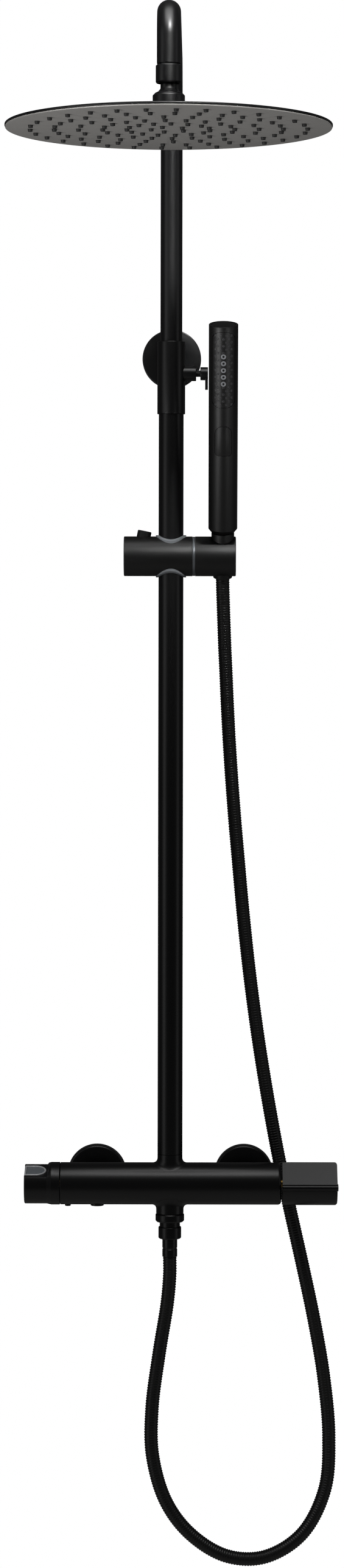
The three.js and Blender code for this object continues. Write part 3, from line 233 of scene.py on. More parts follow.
hose_routes = {
    "hose_at_handset": [
        (52, -68.76, -206.6), (52, -66.9, -212.3), (52, -63.8, -221.85), (52.1, -60.7, -231.4),
        (52.9, -54.6, -255.4), (54.4, -47.2, -295),
    ],
    "hose_at_holder": [
        (54.42, -47.13, -295.5), (55.5, -43.8, -317), (57, -39.7, -350), (58.8, -36.3, -384),
    ],
    "hose_at_slider": [
        (58.83, -36.26, -384.45), (60.6, -33.8, -412), (62.7, -31.8, -441), (65.3, -30.2, -474),
    ],
    "hose": [
        (65.33, -30.17, -474.45), (67.9, -29.2, -502.8), (73.6, -27.6, -564.8), (80.4, -26.8, -626.8),
        (88.7, -26.3, -688.8), (98.7, -26, -750.8), (110.2, -26, -812.8), (121, -26, -862.3),
        (135, -26, -924.3), (146.4, -27, -978), (156.2, -29.2, -1035), (161.5, -33, -1096),
        (157, -38.5, -1149), (133.5, -44, -1192.5), (96, -49, -1214), (58, -53.4, -1212),
        (22, -57.6, -1189.5), (-3, -61.6, -1156), (-17, -65.6, -1108), (-17.6, -68.4, -1060),
        (-10.5, -69.7, -1004), (-2.4, -70, -953), (0, -70, -925), (0, -70, -906.9),
    ],
}
travelled = 0.0
for name, route in hose_routes.items():
    tube, path, length = ribbed_hose(name + "_ribbed", route, travelled)
    travelled += length + 0.3
    finish(tube, hose_pvc, "pvc_hose", None, name)
    # The blend goes by distance along a straight line, so with the slider at its lowest the loop is
    # dragged down with it and its end leaves the outlet. This is a known fault.
    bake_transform(tube)

# ---------------------------------------------------------------------------------------- studio
# A white studio with a pale floor, a metre under the bar. Two soft boxes hang overhead and a narrow
# one lights the arm. A tall strip stands at each side, and two small boxes light the rose from below.

world = bpy.data.worlds.new("studio")
bpy.context.scene.world = world
world.use_nodes = True
tree = world.node_tree
tree.nodes.clear()
seen = node(tree, "ShaderNodeBackground", Color=(1, 1, 1, 1), Strength=1.0)
lit = node(tree, "ShaderNodeBackground", Color=(1, 1, 1, 1), Strength=0.045)
ray = node(tree, "ShaderNodeLightPath")
mixed = node(
    tree, "ShaderNodeMixShader", at0=ray.outputs["Is Camera Ray"], at1=lit.outputs[0], at2=seen.outputs[0]
)
node(tree, "ShaderNodeOutputWorld", Surface=mixed.outputs[0])


def soft_box(name, width, height, power, location, target, spread=180):
    """A rectangular light: size in metres, power in watts, facing the target, spread in degrees."""
    data = bpy.data.lights.new(name, "AREA")
    data.shape = "RECTANGLE"
    data.size = width
    data.size_y = height
    data.energy = power
    data.spread = radians(spread)
    light = bpy.data.objects.new(name, data)
    light.location = location
    light.rotation_euler = (Vector(target) - Vector(location)).to_track_quat("-Z", "Y").to_euler()
    bpy.context.scene.collection.objects.link(light)


soft_box("overhead", 1.3, 0.7, 10, (0.05, -1.15, 1.2), (0.05, -0.4, 0))
soft_box("ceiling", 0.8, 0.6, 5, (0, -0.6, 1.1), (0, -0.4, 0))
soft_box("arm_light", 0.5, 0.4, 1.1, (0.25, -1.5, 1.1), (0, -0.4, 0.33), spread=20)
soft_box("left_strip", 0.9, 2.6, 4, (-1.7, -1.1, -0.4), (0, -0.1, -0.4))
soft_box("right_strip", 0.7, 2.6, 2, (1.9, -0.7, -0.4), (0, -0.1, -0.4))
soft_box("under_left", 0.5, 0.5, 0.75, (-0.6, -0.95, -0.35), (-0.03, -0.4, 0.18), spread=50)
soft_box("under_right", 0.5, 0.5, 0.25, (0.6, -0.95, -0.35), (0.03, -0.4, 0.18), spread=50)

floor_points = np.array([[-1500, -2000, 0], [1500, -2000, 0], [1500, 1000, 0], [-1500, 1000, 0]], float)
floor = mesh_object("floor", floor_points + [0, 0, -1850], [(0, 1, 2, 3)])
floor_white, tree, shader, place = surface("pale_floor", "#e9e8e6", 0.7)
floor.data.materials.append(floor_white)

# ---------------------------------------------------------------------------------------- riser
# The fixed lower tube: 25 mm brass tube with a black coating, a little glossier than chalk.
# It stands on the valve's spigot, over an O-ring, and goes up into the bracket's sleeve.


def rounded(corners, closed, steps=5):
    """A line of (radius, height) points with an arc tangent to both sides at each corner that has one.

    The arc's centre lies on the bisector, at round / sin(half the corner's angle) from the corner.
    """
    spots = np.array([corner[:2] for corner in corners], float)
    line = []
    for i, corner in enumerate(corners):
        here = spots[i]
        size = corner[2] if len(corner) > 2 else 0
        if not size or (not closed and i in (0, len(corners) - 1)):
            line.append(here[None])
            continue
        before = spots[i - 1] - here
        after = spots[(i + 1) % len(corners)] - here
        lengths = np.linalg.norm(before), np.linalg.norm(after)
        before = before / lengths[0]
        after = after / lengths[1]
        half = acos(np.clip(before @ after, -1, 1)) / 2
        reach = min(size / tan(half), 0.49 * lengths[0], 0.49 * lengths[1])
        centre = here + (before + after) / np.linalg.norm(before + after) * reach / cos(half)
        start = here + before * reach - centre
        end = here + after * reach - centre
        sweep = atan2(start[0] * end[1] - start[1] * end[0], start @ end) * np.linspace(0, 1, steps + 1)
        turned_x = start[0] * np.cos(sweep) - start[1] * np.sin(sweep)
        turned_y = start[0] * np.sin(sweep) + start[1] * np.cos(sweep)
        line.append(centre + np.stack([turned_x, turned_y], -1))
    return np.vstack(line)


def placed(points, place):
    """Points moved by a 4 by 4 matrix."""
    matrix = np.array(place)
    return points @ matrix[:3, :3].T + matrix[:3, 3]


def turned(name, corners, place, sides=96):
    """A turned piece: (radius, height, corner round) points carried round the place's Z axis.

    A profile off the axis at either end closes on itself, as a ring or a tube.
    """
    closed = corners[0][0] > 0 or corners[-1][0] > 0
    line = rounded(corners, closed)
    angle = np.linspace(0, 2 * pi, sides, endpoint=False)
    radius, height = line[:, :1], line[:, 1:]
    grid = np.stack([radius * np.cos(angle), radius * np.sin(angle), height + 0 * angle], -1)
    faces = grid_faces(*grid.shape[:2], loop_rows=closed).tolist()
    return mesh_object(name, placed(grid.reshape(-1, 3), place), faces)


def at(x, y, z):
    """A shift by x, y and z millimetres, as a matrix."""
    return Matrix.Translation((x, y, z))


ALONG_X = Matrix.Rotation(radians(90), 4, "Y")
INTO_WALL = Matrix.Rotation(radians(-90), 4, "X")
OFF_WALL = Matrix.Rotation(radians(90), 4, "X")
RISER = at(0, -70, 0)
BAR_HEIGHT = -833.2

# Black coating on brass: a thin even film with a fine orange peel, so highlights are broad and soft.
black_coat, tree, shader, place = surface("black_satin_coating", "#070708", 0.32)
grain(tree, shader, place, 1.1, 0.003, 0.29, 0.38)

finish(
    turned(
        "lower_riser",
        [(11.5, BAR_HEIGHT + 30), (12.5, BAR_HEIGHT + 30, 0.3), (12.5, 5.8, 0.3), (11.5, 5.8)],
        RISER,
    ),
    black_coat, "black_lacquer", "fixed_column", "lower_riser_tube",
)

# Wiper seal at the sleeve's mouth: moulded rubber with a scraping lip on the telescopic pipe.
rubber, tree, shader, place = surface("black_silicone", "#0b0b0b", 0.6)
grain(tree, shader, place, 0.8, 0.01, 0.55, 0.7)
finish(
    turned(
        "wiper_seal",
        [(11.2, 6.1), (12.5, 6.1, 0.3), (12.5, 9.3, 0.3), (11.7, 9.3, 0.3), (11.2, 8.5)],
        RISER,
    ),
    rubber, "silicone", "fixed_column", "telescope_wiper_seal",
)

# Steel, brass and acetal of the pieces inside: each as its maker's stock looks, plain and unpainted.
steel, tree, shader, place = surface("plain_stainless_steel", "#b4b6b8", 0.3, metallic=1.0)
grain(tree, shader, place, 0.6, 0.004, 0.25, 0.38)
brass, tree, shader, place = surface("machined_brass", "#b8934f", 0.3, metallic=1.0)
grain(tree, shader, place, 0.5, 0.004, 0.24, 0.36)
acetal, tree, shader, place = surface("white_acetal", "#dcdad4", 0.42)
grain(tree, shader, place, 0.9, 0.006, 0.38, 0.48)
inner_pieces = {
    steel: ["wall_fixing_plate", "bracket_grub_screw", "tilt_axle"],
    black_coat: ["lock_spindle", "arm_end_fitting", "hot_wall_union", "cold_wall_union"],
    brass: [
        "upper_hose_ferrule", "thermostat_cartridge", "flow_cartridge",
        "thermostat_spindle", "flow_spindle",
    ],
    acetal: ["telescope_guide", "ball_friction_ring", "slider_brake_pin", "spray_core"],
    rubber: ["riser_base_seal"],
}
for material, names in inner_pieces.items():
    for name in names:
        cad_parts[name].data.materials.clear()
        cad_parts[name].data.materials.append(material)

# ------------------------------------------------------------------------------- upper bracket
# A pressed rose against the wall hides the screwed plate. The bracket is a brass casting: a stem
# out of the wall, a sleeve round the riser and a boss for the clamping lever, all coated black.


def extruded(name, corners, low, high, place, bevel=0.0):
    """A flat outline of (x, y, corner round) points carried straight along the place's Z axis."""
    line = rounded(corners, True, steps=10)
    count = len(line)
    points = np.vstack([np.column_stack([line, np.full(count, z)]) for z in (low, high)])
    faces = grid_faces(2, count).tolist() + [list(range(count))[::-1], list(range(count, 2 * count))]
    made = mesh_object(name, placed(points, place), faces)
    if bevel:
        soften(made, bevel)
    return made


def baked(piece):
    """Puts what the modifiers make into the piece's own mesh."""
    graph = bpy.context.evaluated_depsgraph_get()
    mesh = bpy.data.meshes.new_from_object(piece.evaluated_get(graph))
    piece.modifiers.clear()
    piece.data = mesh
    return piece


def soften(piece, width, steps=3, angle=35):
    """Rounds the edges that are sharper than angle by width millimetres."""
    bevel = piece.modifiers.new("soft_edges", "BEVEL")
    bevel.width = width * MM
    bevel.segments = steps
    bevel.limit_method = "ANGLE"
    bevel.angle_limit = radians(angle)
    bevel.miter_outer = "MITER_ARC"
    bevel.use_clamp_overlap = True
    baked(piece)
    shade(piece)
    return piece


def combined(piece, joined=(), cut=(), kept=()):
    """The piece joined with some solids, cut by others and kept only inside the last ones."""
    tools = [(tool, "UNION") for tool in joined]
    tools += [(tool, "DIFFERENCE") for tool in cut]
    tools += [(tool, "INTERSECT") for tool in kept]
    for tool, operation in tools:
        step = piece.modifiers.new(operation.lower(), "BOOLEAN")
        step.object = tool
        step.operation = operation
        step.solver = "EXACT"
    bpy.context.view_layer.update()
    baked(piece)
    for tool, _ in tools:
        bpy.data.objects.remove(tool)
    shade(piece)
    return piece


def bore(radius, low, high, place, sides=64):
    """A plain cylinder to cut a hole with."""
    return turned("bore", [(0, low), (radius, low), (radius, high), (0, high)], place, sides)


finish(
    turned(
        "bracket_rose_pressed",
        [(9.3, 7.4), (28.4, 7.4, 0.5), (28.4, 0), (30, 0, 0.2), (30, 9, 0.9), (9.3, 9, 0.3)],
        OFF_WALL,
    ),
    black_coat, "black_lacquer", "fixed_column", "bracket_rose",
)

LEVER = at(0, -70, -19.2)
bracket = turned("bracket_casting", [(0, -59.9), (14, -59.9, 0.5), (14, 12.9, 0.7), (0, 12.9)], RISER)
combined(
    bracket,
    joined=[
        turned("stem", [(0, 5), (9, 5, 0.3), (9, 62), (0, 62)], OFF_WALL, 64),
        turned("boss", [(0, 2), (7.5, 2), (7.5, 25, 0.6), (0, 25)], LEVER @ ALONG_X, 64),
    ],
    cut=[
        bore(12.8, -61, 9.6, RISER, 96),
        bore(11.3, 0, 14, RISER, 96),
        bore(6.5, 0, 19, OFF_WALL),
        bore(3.5, 8, 26, LEVER @ ALONG_X),
        bore(2.3, -11, 0, at(0, -12.5, 0), 32),
    ],
)
finish(bracket, black_coat, "black_lacquer", "fixed_column", "riser_bracket")

# The lever that clamps the telescopic riser: a turned hub with a flat tapering paddle.
lever = turned(
    "lock_lever_cast", [(0, 29.2), (6.6, 29.2, 0.6), (6.6, 36.9, 0.6), (0, 36.9)], LEVER @ ALONG_X, 64
)
PADDLE = LEVER @ Matrix.Rotation(radians(90), 4, "Z") @ Matrix.Rotation(radians(90), 4, "X")
combined(
    lever,
    joined=[
        extruded("paddle", [(-4.8, 0), (-3, -16.2, 2.6), (3, -16.2, 2.6), (4.8, 0)], 34, 36.8, PADDLE, 0.5),
    ],
    cut=[bore(3.5, 28, 33.5, LEVER @ ALONG_X, 32)],
)
finish(lever, black_coat, "black_lacquer", "height_lock", "lock_lever")

# ------------------------------------------------------------------------------- telescopic arm
# 22 mm tube, bent twice on a former of 45 mm, so its outer skin is one smooth sweep from the
# sleeve to the mouth over the rose.


def bent_tube(name, corners, outer, inner, place, sides=64):
    """A tube in the YZ plane: rings square to a line of straights and arcs, outside and then inside.

    A ring's points are p + r (cos a X + sin a N), with N = X cross the line's tangent.
    """
    line = rounded(corners, False, steps=24)
    line = np.column_stack([np.zeros(len(line)), line])
    tangent = np.gradient(line, axis=0)
    tangent[1:-1] = (line[2:] - line[1:-1]) / np.linalg.norm(line[2:] - line[1:-1], axis=1)[:, None] + (
        line[1:-1] - line[:-2]
    ) / np.linalg.norm(line[1:-1] - line[:-2], axis=1)[:, None]
    tangent /= np.linalg.norm(tangent, axis=1)[:, None]
    across = np.cross([1.0, 0.0, 0.0], tangent)
    angle = np.linspace(0, 2 * pi, sides, endpoint=False)
    ring = (
        np.cos(angle)[None, :, None] * np.array([1.0, 0, 0])
        + np.sin(angle)[None, :, None] * across[:, None]
    )
    grid = np.vstack([line[:, None] + outer * ring, (line[:, None] + inner * ring)[::-1]])
    faces = grid_faces(*grid.shape[:2], loop_rows=True).tolist()
    return mesh_object(name, placed(grid.reshape(-1, 3), place), faces)


arm = bent_tube(
    "arm_pipe_bent", [(0, -230), (0, 292.4, 45), (-330, 292.4, 45), (-330, 241.2)], 11, 10, RISER, 80
)
finish(arm, black_coat, "black_lacquer", "arm", "arm_pipe")

# ------------------------------------------------------------------------------- ball joint
# The collar screws on the pipe's end and holds the rose's ball against an acetal ring.
# The ball and its stem are one turned piece, with a polished cone above the clamping nut.
ROSE = at(0, -400, 0)
finish(
    turned(
        "ball_joint_collar_turned",
        [
            (10.5, 223.2, 0.2), (11.3, 223.2, 0.2), (12, 224.4, 0.5), (12, 239, 0.5), (10.8, 240.2, 0.3),
            (9.7, 240.2), (9.7, 234), (10.2, 234), (10.2, 226), (8.8, 226),
        ],
        ROSE,
    ),
    black_coat, "black_lacquer", "arm", "ball_joint_collar",
)
latitude = np.radians(np.linspace(-45, 52, 16))
ball = [(8.2 * cos(a), 230 + 8.2 * sin(a)) for a in latitude]
finish(
    turned(
        "ball_stem_turned",
        [
            (3.5, 198.2), (9.2, 198.2), (9.2, 213.2), (13, 213.2, 0.2), (13, 213.9, 0.3), (9.7, 215.6, 2),
            (7.7, 218.2, 1.5), (7.7, 222.2, 0.5), (5.6, 223.4), *ball, (3.5, ball[-1][1]),
        ],
        ROSE,
    ),
    black_coat, "black_lacquer", "rain_head", "ball_stem",
)
finish(
    turned(
        "head_base_nut_turned",
        [(9.5, 196), (14.8, 196, 0.4), (14.8, 211.7, 0.8), (13.9, 212.9, 0.4), (9.5, 212.9)],
        ROSE,
    ),
    black_coat, "black_lacquer", "rain_head", "head_base_nut",
)
finish(
    turned(
        "head_hub_turned",
        [
            (6, 184.5), (9.1, 184.5), (9.1, 185.7), (20, 185.7, 0.3), (20, 188.4, 0.7), (14.5, 190.4, 1.5),
            (13.5, 192.4, 0.8), (13.5, 195.7, 0.4), (9.2, 195.7), (9.2, 197.7), (6, 197.7),
        ],
        ROSE,
    ),
    black_coat, "black_lacquer", "rain_head", "head_hub",
)

# ------------------------------------------------------------------------------- rain head
# Two thin stainless pressings, 300 mm across: a coated top shell with a rolled rim, and a pierced
# faceplate. A silicone mat lies between them, and its nozzles stand out through the holes.
finish(
    turned(
        "head_shell_pressed",
        [
            (9.5, 184.5), (149.1, 184.5, 0.3), (149.1, 183.4),
            (150, 183.4, 0.3), (150, 185.4, 0.9), (9.5, 185.4),
        ],
        ROSE,
        240,
    ),
    black_coat, "black_lacquer", "rain_head", "head_top_shell",
)

NOZZLE_RINGS = (5, 15, 20, 20, 30, 30)
nozzle_centres = np.array(
    [
        (
            (16 + 22.2 * ring) * cos(radians(-2.5 + (180 / count if ring < 2 else 0) + 360 * i / count)),
            (16 + 22.2 * ring) * sin(radians(-2.5 + (180 / count if ring < 2 else 0) + 360 * i / count)),
        )
        for ring, count in enumerate(NOZZLE_RINGS)
        for i in range(count)
    ]
)


def repeated_turned(name, corners, centres, place, sides=12):
    """One turned profile, from axis to axis, set down at each centre: all rows in one mesh."""
    line = rounded(corners, False, steps=2)
    angle = np.linspace(0, 2 * pi, sides, endpoint=False)
    radius, height = line[:, :1], line[:, 1:]
    one = np.stack([radius * np.cos(angle), radius * np.sin(angle), height + 0 * angle], -1).reshape(-1, 3)
    moved = one[None] + np.column_stack([centres, np.zeros(len(centres))])[:, None]
    faces = grid_faces(len(line), sides)
    steps = np.arange(len(centres))[:, None, None] * len(one)
    points = placed(moved.reshape(-1, 3), place)
    return mesh_object(name, points, (faces[None] + steps).reshape(-1, 4).tolist())


# Dark satin coating on a flat sheet. Its colour is raised to a light grey as painted light, standing in for
# the light that grazes the underside, so it reads lighter than the tubes.
sheet_with_painted_light, tree, shader, place = surface("satin_sheet_painted_light", "#a3a19e", 0.42, metallic=0.3)
grain(tree, shader, place, 1.4, 0.01, 0.28, 0.4)
faceplate = turned(
    "faceplate_pierced", [(0, 181.9), (149.4, 181.9, 0.4), (149.4, 183.1, 0.2), (0, 183.1)], ROSE, 240
)
piercing = [(0, 181), (2.5, 181), (2.5, 184), (0, 184)]
combined(faceplate, cut=[repeated_turned("piercing", piercing, nozzle_centres, ROSE, 20)])
finish(faceplate, sheet_with_painted_light, "underside_plate", "rain_head", "head_faceplate")

mat = turned("mat", [(0, 183.4), (147, 183.4), (147, 184.2), (0, 184.2)], ROSE, 120)
nozzles = repeated_turned(
    "nozzle_mat_moulded",
    [(0, 181.2), (0.45, 181.2), (0.55, 179.4, 0.1), (2.1, 179.4, 0.3), (2.3, 182), (2.3, 183.6), (0, 183.6)],
    nozzle_centres,
    ROSE,
    16,
)


def merged(piece, *others):
    """One object of several meshes that lie in or against each other."""
    work = bmesh.new()
    for one in (piece, *others):
        work.from_mesh(one.data)
    work.to_mesh(piece.data)
    work.free()
    for one in others:
        bpy.data.objects.remove(one)
    shade(piece)
    return piece


finish(merged(nozzles, mat), rubber, "silicone", "rain_head", "nozzle_mat")

# ------------------------------------------------------------------------------- slider
# ABS moulding on the riser: a round body lying across it, a grey acetal bush that it slides on,
# a button that frees the brake, and on the right the holder, which tilts against a silver ring.
SLIDER = at(0, -70, -202.8)
BUTTON = SLIDER @ at(-31.4, 0, 0) @ Matrix.Rotation(radians(11.3), 4, "Y")

black_abs, tree, shader, place = surface("black_abs_moulding", "#090909", 0.42)
grain(tree, shader, place, 0.9, 0.004, 0.38, 0.48)
grey_acetal, tree, shader, place = surface("grey_acetal", "#84888c", 0.4)
grain(tree, shader, place, 0.9, 0.008, 0.36, 0.46)

bush = turned("bush_moulded", [(13, -22), (15.2, -22), (15.2, 22), (13, 22)], SLIDER)
combined(
    bush,
    cut=[extruded("slot", [(-18, -3.9), (-3, -3.9), (-3, 3.9), (-18, 3.9)], -11.5, 11.5, SLIDER @ OFF_WALL)],
    kept=[turned("saddle", [(0, -17), (21.3, -17), (21.3, 17), (0, 17)], SLIDER @ ALONG_X)],
)
soften(bush, 0.25, 2, 50)
finish(bush, grey_acetal, "grey_plastic", "slider_carriage", "slider_bush")

slider = turned(
    "slider_moulded", [(0, -47.3), (20, -47.3, 0.9), (20, 21.6, 0.2), (0, 21.6)], SLIDER @ ALONG_X
)
combined(
    slider,
    cut=[
        bore(15.5, -21, 21, SLIDER, 96),
        bore(16.5, -48, -18.5, SLIDER @ ALONG_X, 96),
        bore(3.9, -20, -12, SLIDER @ ALONG_X, 48),
        bore(5.3, 16.7, 23, SLIDER @ ALONG_X, 48),
        bore(7.3, 5, 30, BUTTON),
    ],
)
soften(slider, 0.3, 2, 50)
finish(slider, black_abs, "black_plastic", "slider_head", "slider_body")
finish(
    turned(
        "slider_cap_moulded",
        [(0, -47.3), (16.2, -47.3, 0.5), (16.2, -44.3), (0, -44.3)],
        SLIDER @ ALONG_X,
    ),
    black_abs, "black_plastic", "slider_head", "slider_end_cap",
)
finish(
    turned(
        "release_button_moulded",
        [
            (0, -4), (3, -4, 0.4), (3, 10), (7, 10, 0.3),
            (7, 25.9, 1.0), (5.2, 25.9), (4.4, 25.5, 1), (0, 25.5),
        ],
        BUTTON,
        64,
    ),
    black_abs, "black_plastic", "slider_release", "release_button",
)


def coil(name, radius, wire, low, high, turns, place):
    """A helix of round wire: the coil's circle carried up its axis, with a ring of wire about it."""
    turn = np.linspace(0, 2 * pi * turns, turns * 28)
    rise = low + (high - low) * turn / turn[-1]
    centre = np.stack([radius * np.cos(turn), radius * np.sin(turn), rise], -1)
    out = np.stack([np.cos(turn), np.sin(turn), 0 * turn], -1)
    up = np.array([0, 0, 1.0])
    angle = np.linspace(0, 2 * pi, 10, endpoint=False)
    ring = np.cos(angle)[None, :, None] * out[:, None] + np.sin(angle)[None, :, None] * up
    grid = centre[:, None] + wire * ring
    rows, columns = grid.shape[:2]
    points = np.vstack([grid.reshape(-1, 3), centre[:1], centre[-1:]])
    faces = grid_faces(rows, columns).tolist()
    for row, tip in ((0, rows * columns), (rows - 1, rows * columns + 1)):
        faces += [(tip, row * columns + i, row * columns + (i + 1) % columns) for i in range(columns)]
    return mesh_object(name, placed(points, place), faces)




def spring_between(coil_piece, place, low, high, fixed_body, moving_body, *nodes):
    """A steel spring, given its steel and standing for its CAD nodes, fixed where it was made."""
    finish(coil_piece, steel, "steel", None, *nodes)
    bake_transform(coil_piece)


spring_between(
    coil("release_spring_wound", 4.4, 0.5, -13.9, 9.2, 5, BUTTON), BUTTON, -13.9, 9.2,
    "slider_head", "slider_release", "release_spring",
)

# The silver ring is anodised aluminium, turned, with fine lathe lines round its axis.
TILT = SLIDER @ Matrix.Rotation(radians(18), 4, "X")
silver, tree, shader, place = surface("turned_aluminium", "#63666a", 0.42, metallic=0.35)
grain(tree, shader, place, 0.5, 0.004, 0.28, 0.4)
finish(
    turned(
        "tilt_ring_turned",
        [(5.3, 21.64), (19.7, 21.64, 0.2), (19.7, 24.26, 0.2), (5.3, 24.26)],
        SLIDER @ ALONG_X,
    ),
    silver, "silver_ring", "holder", "tilt_ring",
)

HANDSET = TILT @ at(52, 0, 0)
holder = turned("holder_moulded", [(0, 24.3), (20, 24.3, 0.2), (20, 65.2, 1.0), (0, 65.2)], TILT @ ALONG_X)
combined(
    holder,
    cut=[
        bore(5.3, 23, 36.5, TILT @ ALONG_X, 48),
        turned("cone", [(0, -26), (9.9, -26), (12.5, 26), (0, 26)], HANDSET),
    ],
)
soften(holder, 0.3, 2, 50)
finish(holder, black_abs, "black_plastic", "holder", "handset_holder")

# ------------------------------------------------------------------------------- handset
# A straight stick of black ABS. Its upper front has a field of small silicone nozzles round a row
# of ring jets, and under that sits the arched button that changes the spray.
stick = turned(
    "handset_moulded",
    [
        (6, 12), (9.3, 12), (9.3, 26), (11.6, 26, 0.3), (14.5, 29.6, 1.0), (14.5, 239, 0.6),
        (12.1, 239), (12.1, 150), (6, 150),
    ],
    HANDSET,
    128,
)
FRONT = HANDSET @ OFF_WALL


def face_outline(grow):
    """The spray plate's outline, a rounded oblong up the handset, grown all round by that much."""
    width, low, high = 11.2 + grow, 157.6 - grow, 233.6 + grow
    return [(-width, low, 8), (width, low, 8), (width, high, 8), (-width, high, 8)]


def button_outline(grow):
    """The spray button's outline, square below and arched above, grown all round by that much."""
    width, low, high = 8.3 + grow, 108.5 - grow, 138.5 + grow
    return [(-width, low, 3), (width, low, 3), (width, high, 7.8 + grow), (-width, high, 7.8 + grow)]


combined(
    stick,
    cut=[
        extruded("window", face_outline(0.3), 4.7, 17, FRONT),
        extruded("pocket", button_outline(0.3), 9.8, 17, FRONT),
    ],
)
finish(stick, black_abs, "black_plastic", "handset", "handset_body")

plate = turned("faceplate_moulded", [(12.1, 150), (14.5, 150), (14.5, 240), (12.1, 240)], HANDSET, 128)
combined(plate, kept=[extruded("panel", face_outline(0), 5, 17, FRONT)])


def wrapped(points, radius):
    """Small pieces drawn on a flat sheet, laid round the stick: x becomes an arc, z stands out of it."""
    angle = points[:, 0] / radius
    out = radius + points[:, 2]
    return np.column_stack([out * np.sin(angle), points[:, 1], out * np.cos(angle)])


def dots_on_stick(name, corners, centres, sides=12):
    """A turned profile at each centre of the sheet, wrapped round the stick's front."""
    line = rounded(corners, False, steps=2)
    angle = np.linspace(0, 2 * pi, sides, endpoint=False)
    radius, height = line[:, :1], line[:, 1:]
    one = np.stack([radius * np.cos(angle), radius * np.sin(angle), height + 0 * angle], -1).reshape(-1, 3)
    moved = one[None] + np.column_stack([centres, np.zeros(len(centres))])[:, None]
    faces = grid_faces(len(line), sides)
    steps = np.arange(len(centres))[:, None, None] * len(one)
    points = placed(wrapped(moved.reshape(-1, 3), 14.5), FRONT)
    return mesh_object(name, points, (faces[None] + steps).reshape(-1, 4).tolist())


rows = np.arange(21)
field = np.array(
    [
        (5.75 * (i - (3 - row % 2) / 2), 160.7 + 3.495 * row)
        for row in rows
        for i in range(4 - row % 2)
    ]
)
jets = np.array([(0, 195.6 + 6.9 * k) for k in range(-2, 3)])
clear = np.min(np.linalg.norm(field[:, None] - jets[None], axis=2), axis=1) > 3.6
dot = [(0, -0.4), (1.4, -0.4), (1.25, 0.28, 0.2), (0.4, 0.28), (0.35, -0.1), (0, -0.1)]
ring_jet = [(0, -0.4), (2.55, -0.4), (2.55, 0.3, 0.2), (1.9, 0.3, 0.2), (1.1, 0.05), (1.1, -0.2), (0, -0.2)]
finish(plate, black_abs, "black_plastic", "handset", "spray_faceplate")
dark_silicone, tree, shader, place = surface("dark_grey_silicone", "#3c3c3e", 0.5)
grain(tree, shader, place, 0.6, 0.004, 0.44, 0.56)
dots = dots_on_stick("spray_dots_moulded", dot, field[clear])
finish(dots, dark_silicone, "silicone", "handset")
jet_grey, tree, shader, place = surface("grey_abs_moulding", "#9a9ca0", 0.4)
grain(tree, shader, place, 0.6, 0.004, 0.36, 0.46)
rings = dots_on_stick("spray_jets_moulded", ring_jet, jets, 24)
finish(rings, jet_grey, "grey_plastic", "handset")
finish(
    turned("handset_cap_moulded", [(0, 234.5), (11.7, 234.5), (11.7, 238.9, 0.3), (0, 238.9)], HANDSET),
    black_abs, "black_plastic", "handset", "handset_end_cap",
)
select = turned("select_blank", [(0, 100), (15, 100), (15, 145), (0, 145)], HANDSET, 128)
combined(select, kept=[extruded("arch", button_outline(0), 11.6, 17, FRONT)])
soften(select, 0.5, 3, 50)
finish(select, black_abs, "black_plastic", "spray_select", "spray_select_button")
finish(
    turned(
        "cone_nut_moulded",
        [
            (7.6, -22), (9.5, -22, 0.6), (11.45, 12, 2), (11.45, 25.2, 0.6), (9.7, 25.2), (9.7, 8), (7.6, 8),
        ],
        HANDSET,
    ),
    black_abs, "black_plastic", "handset", "hose_cone_nut",
)

# ------------------------------------------------------------------------------- bar valve
# A brass casting turned to 42 mm. The riser's spigot and the hose boss are blended into the round
# of the bar, and two inlets leave it towards the wall.
BAR = at(0, -70, BAR_HEIGHT)


def blended_boss(name, radius, reach, tip, place):
    """A round boss rising from the bar, with a fillet that follows the bar's curve.

    At angle a round the boss, the bar's surface at distance r from the boss's axis is at height
    sqrt(R^2 - (r sin a)^2). The fillet is the quadratic Bezier curve from the boss's side, at fillet
    height, through the corner, to the bar's surface at reach.
    """
    angle = np.linspace(0, 2 * pi, 128, endpoint=False)

    def bar(r):
        """Height of the bar's surface at distance r from the boss's axis."""
        return np.sqrt(21.0**2 - (r * np.sin(angle)) ** 2)

    t = np.linspace(0, 1, 14)[:, None]
    corner, foot = bar(radius), bar(reach) - 0.05
    r = (1 - t) ** 2 * radius + 2 * t * (1 - t) * radius + t**2 * reach + 0 * angle
    z = (1 - t) ** 2 * (corner + reach - radius) + 2 * t * (1 - t) * corner + t**2 * foot
    top = rounded(tip, False)
    top_r, top_z = top[:, :1] + 0 * angle, top[:, 1:] + 0 * angle
    inner_r = np.stack([0 * angle + reach - 3, 0 * angle])
    inner_z = np.stack([bar(reach - 3) - 5, 0 * angle])
    r, z = np.vstack([top_r, r, inner_r]), np.vstack([top_z, z, inner_z])
    grid = np.stack([r * np.cos(angle), r * np.sin(angle), z], -1)
    return mesh_object(name, placed(grid.reshape(-1, 3), place), grid_faces(*grid.shape[:2]).tolist())


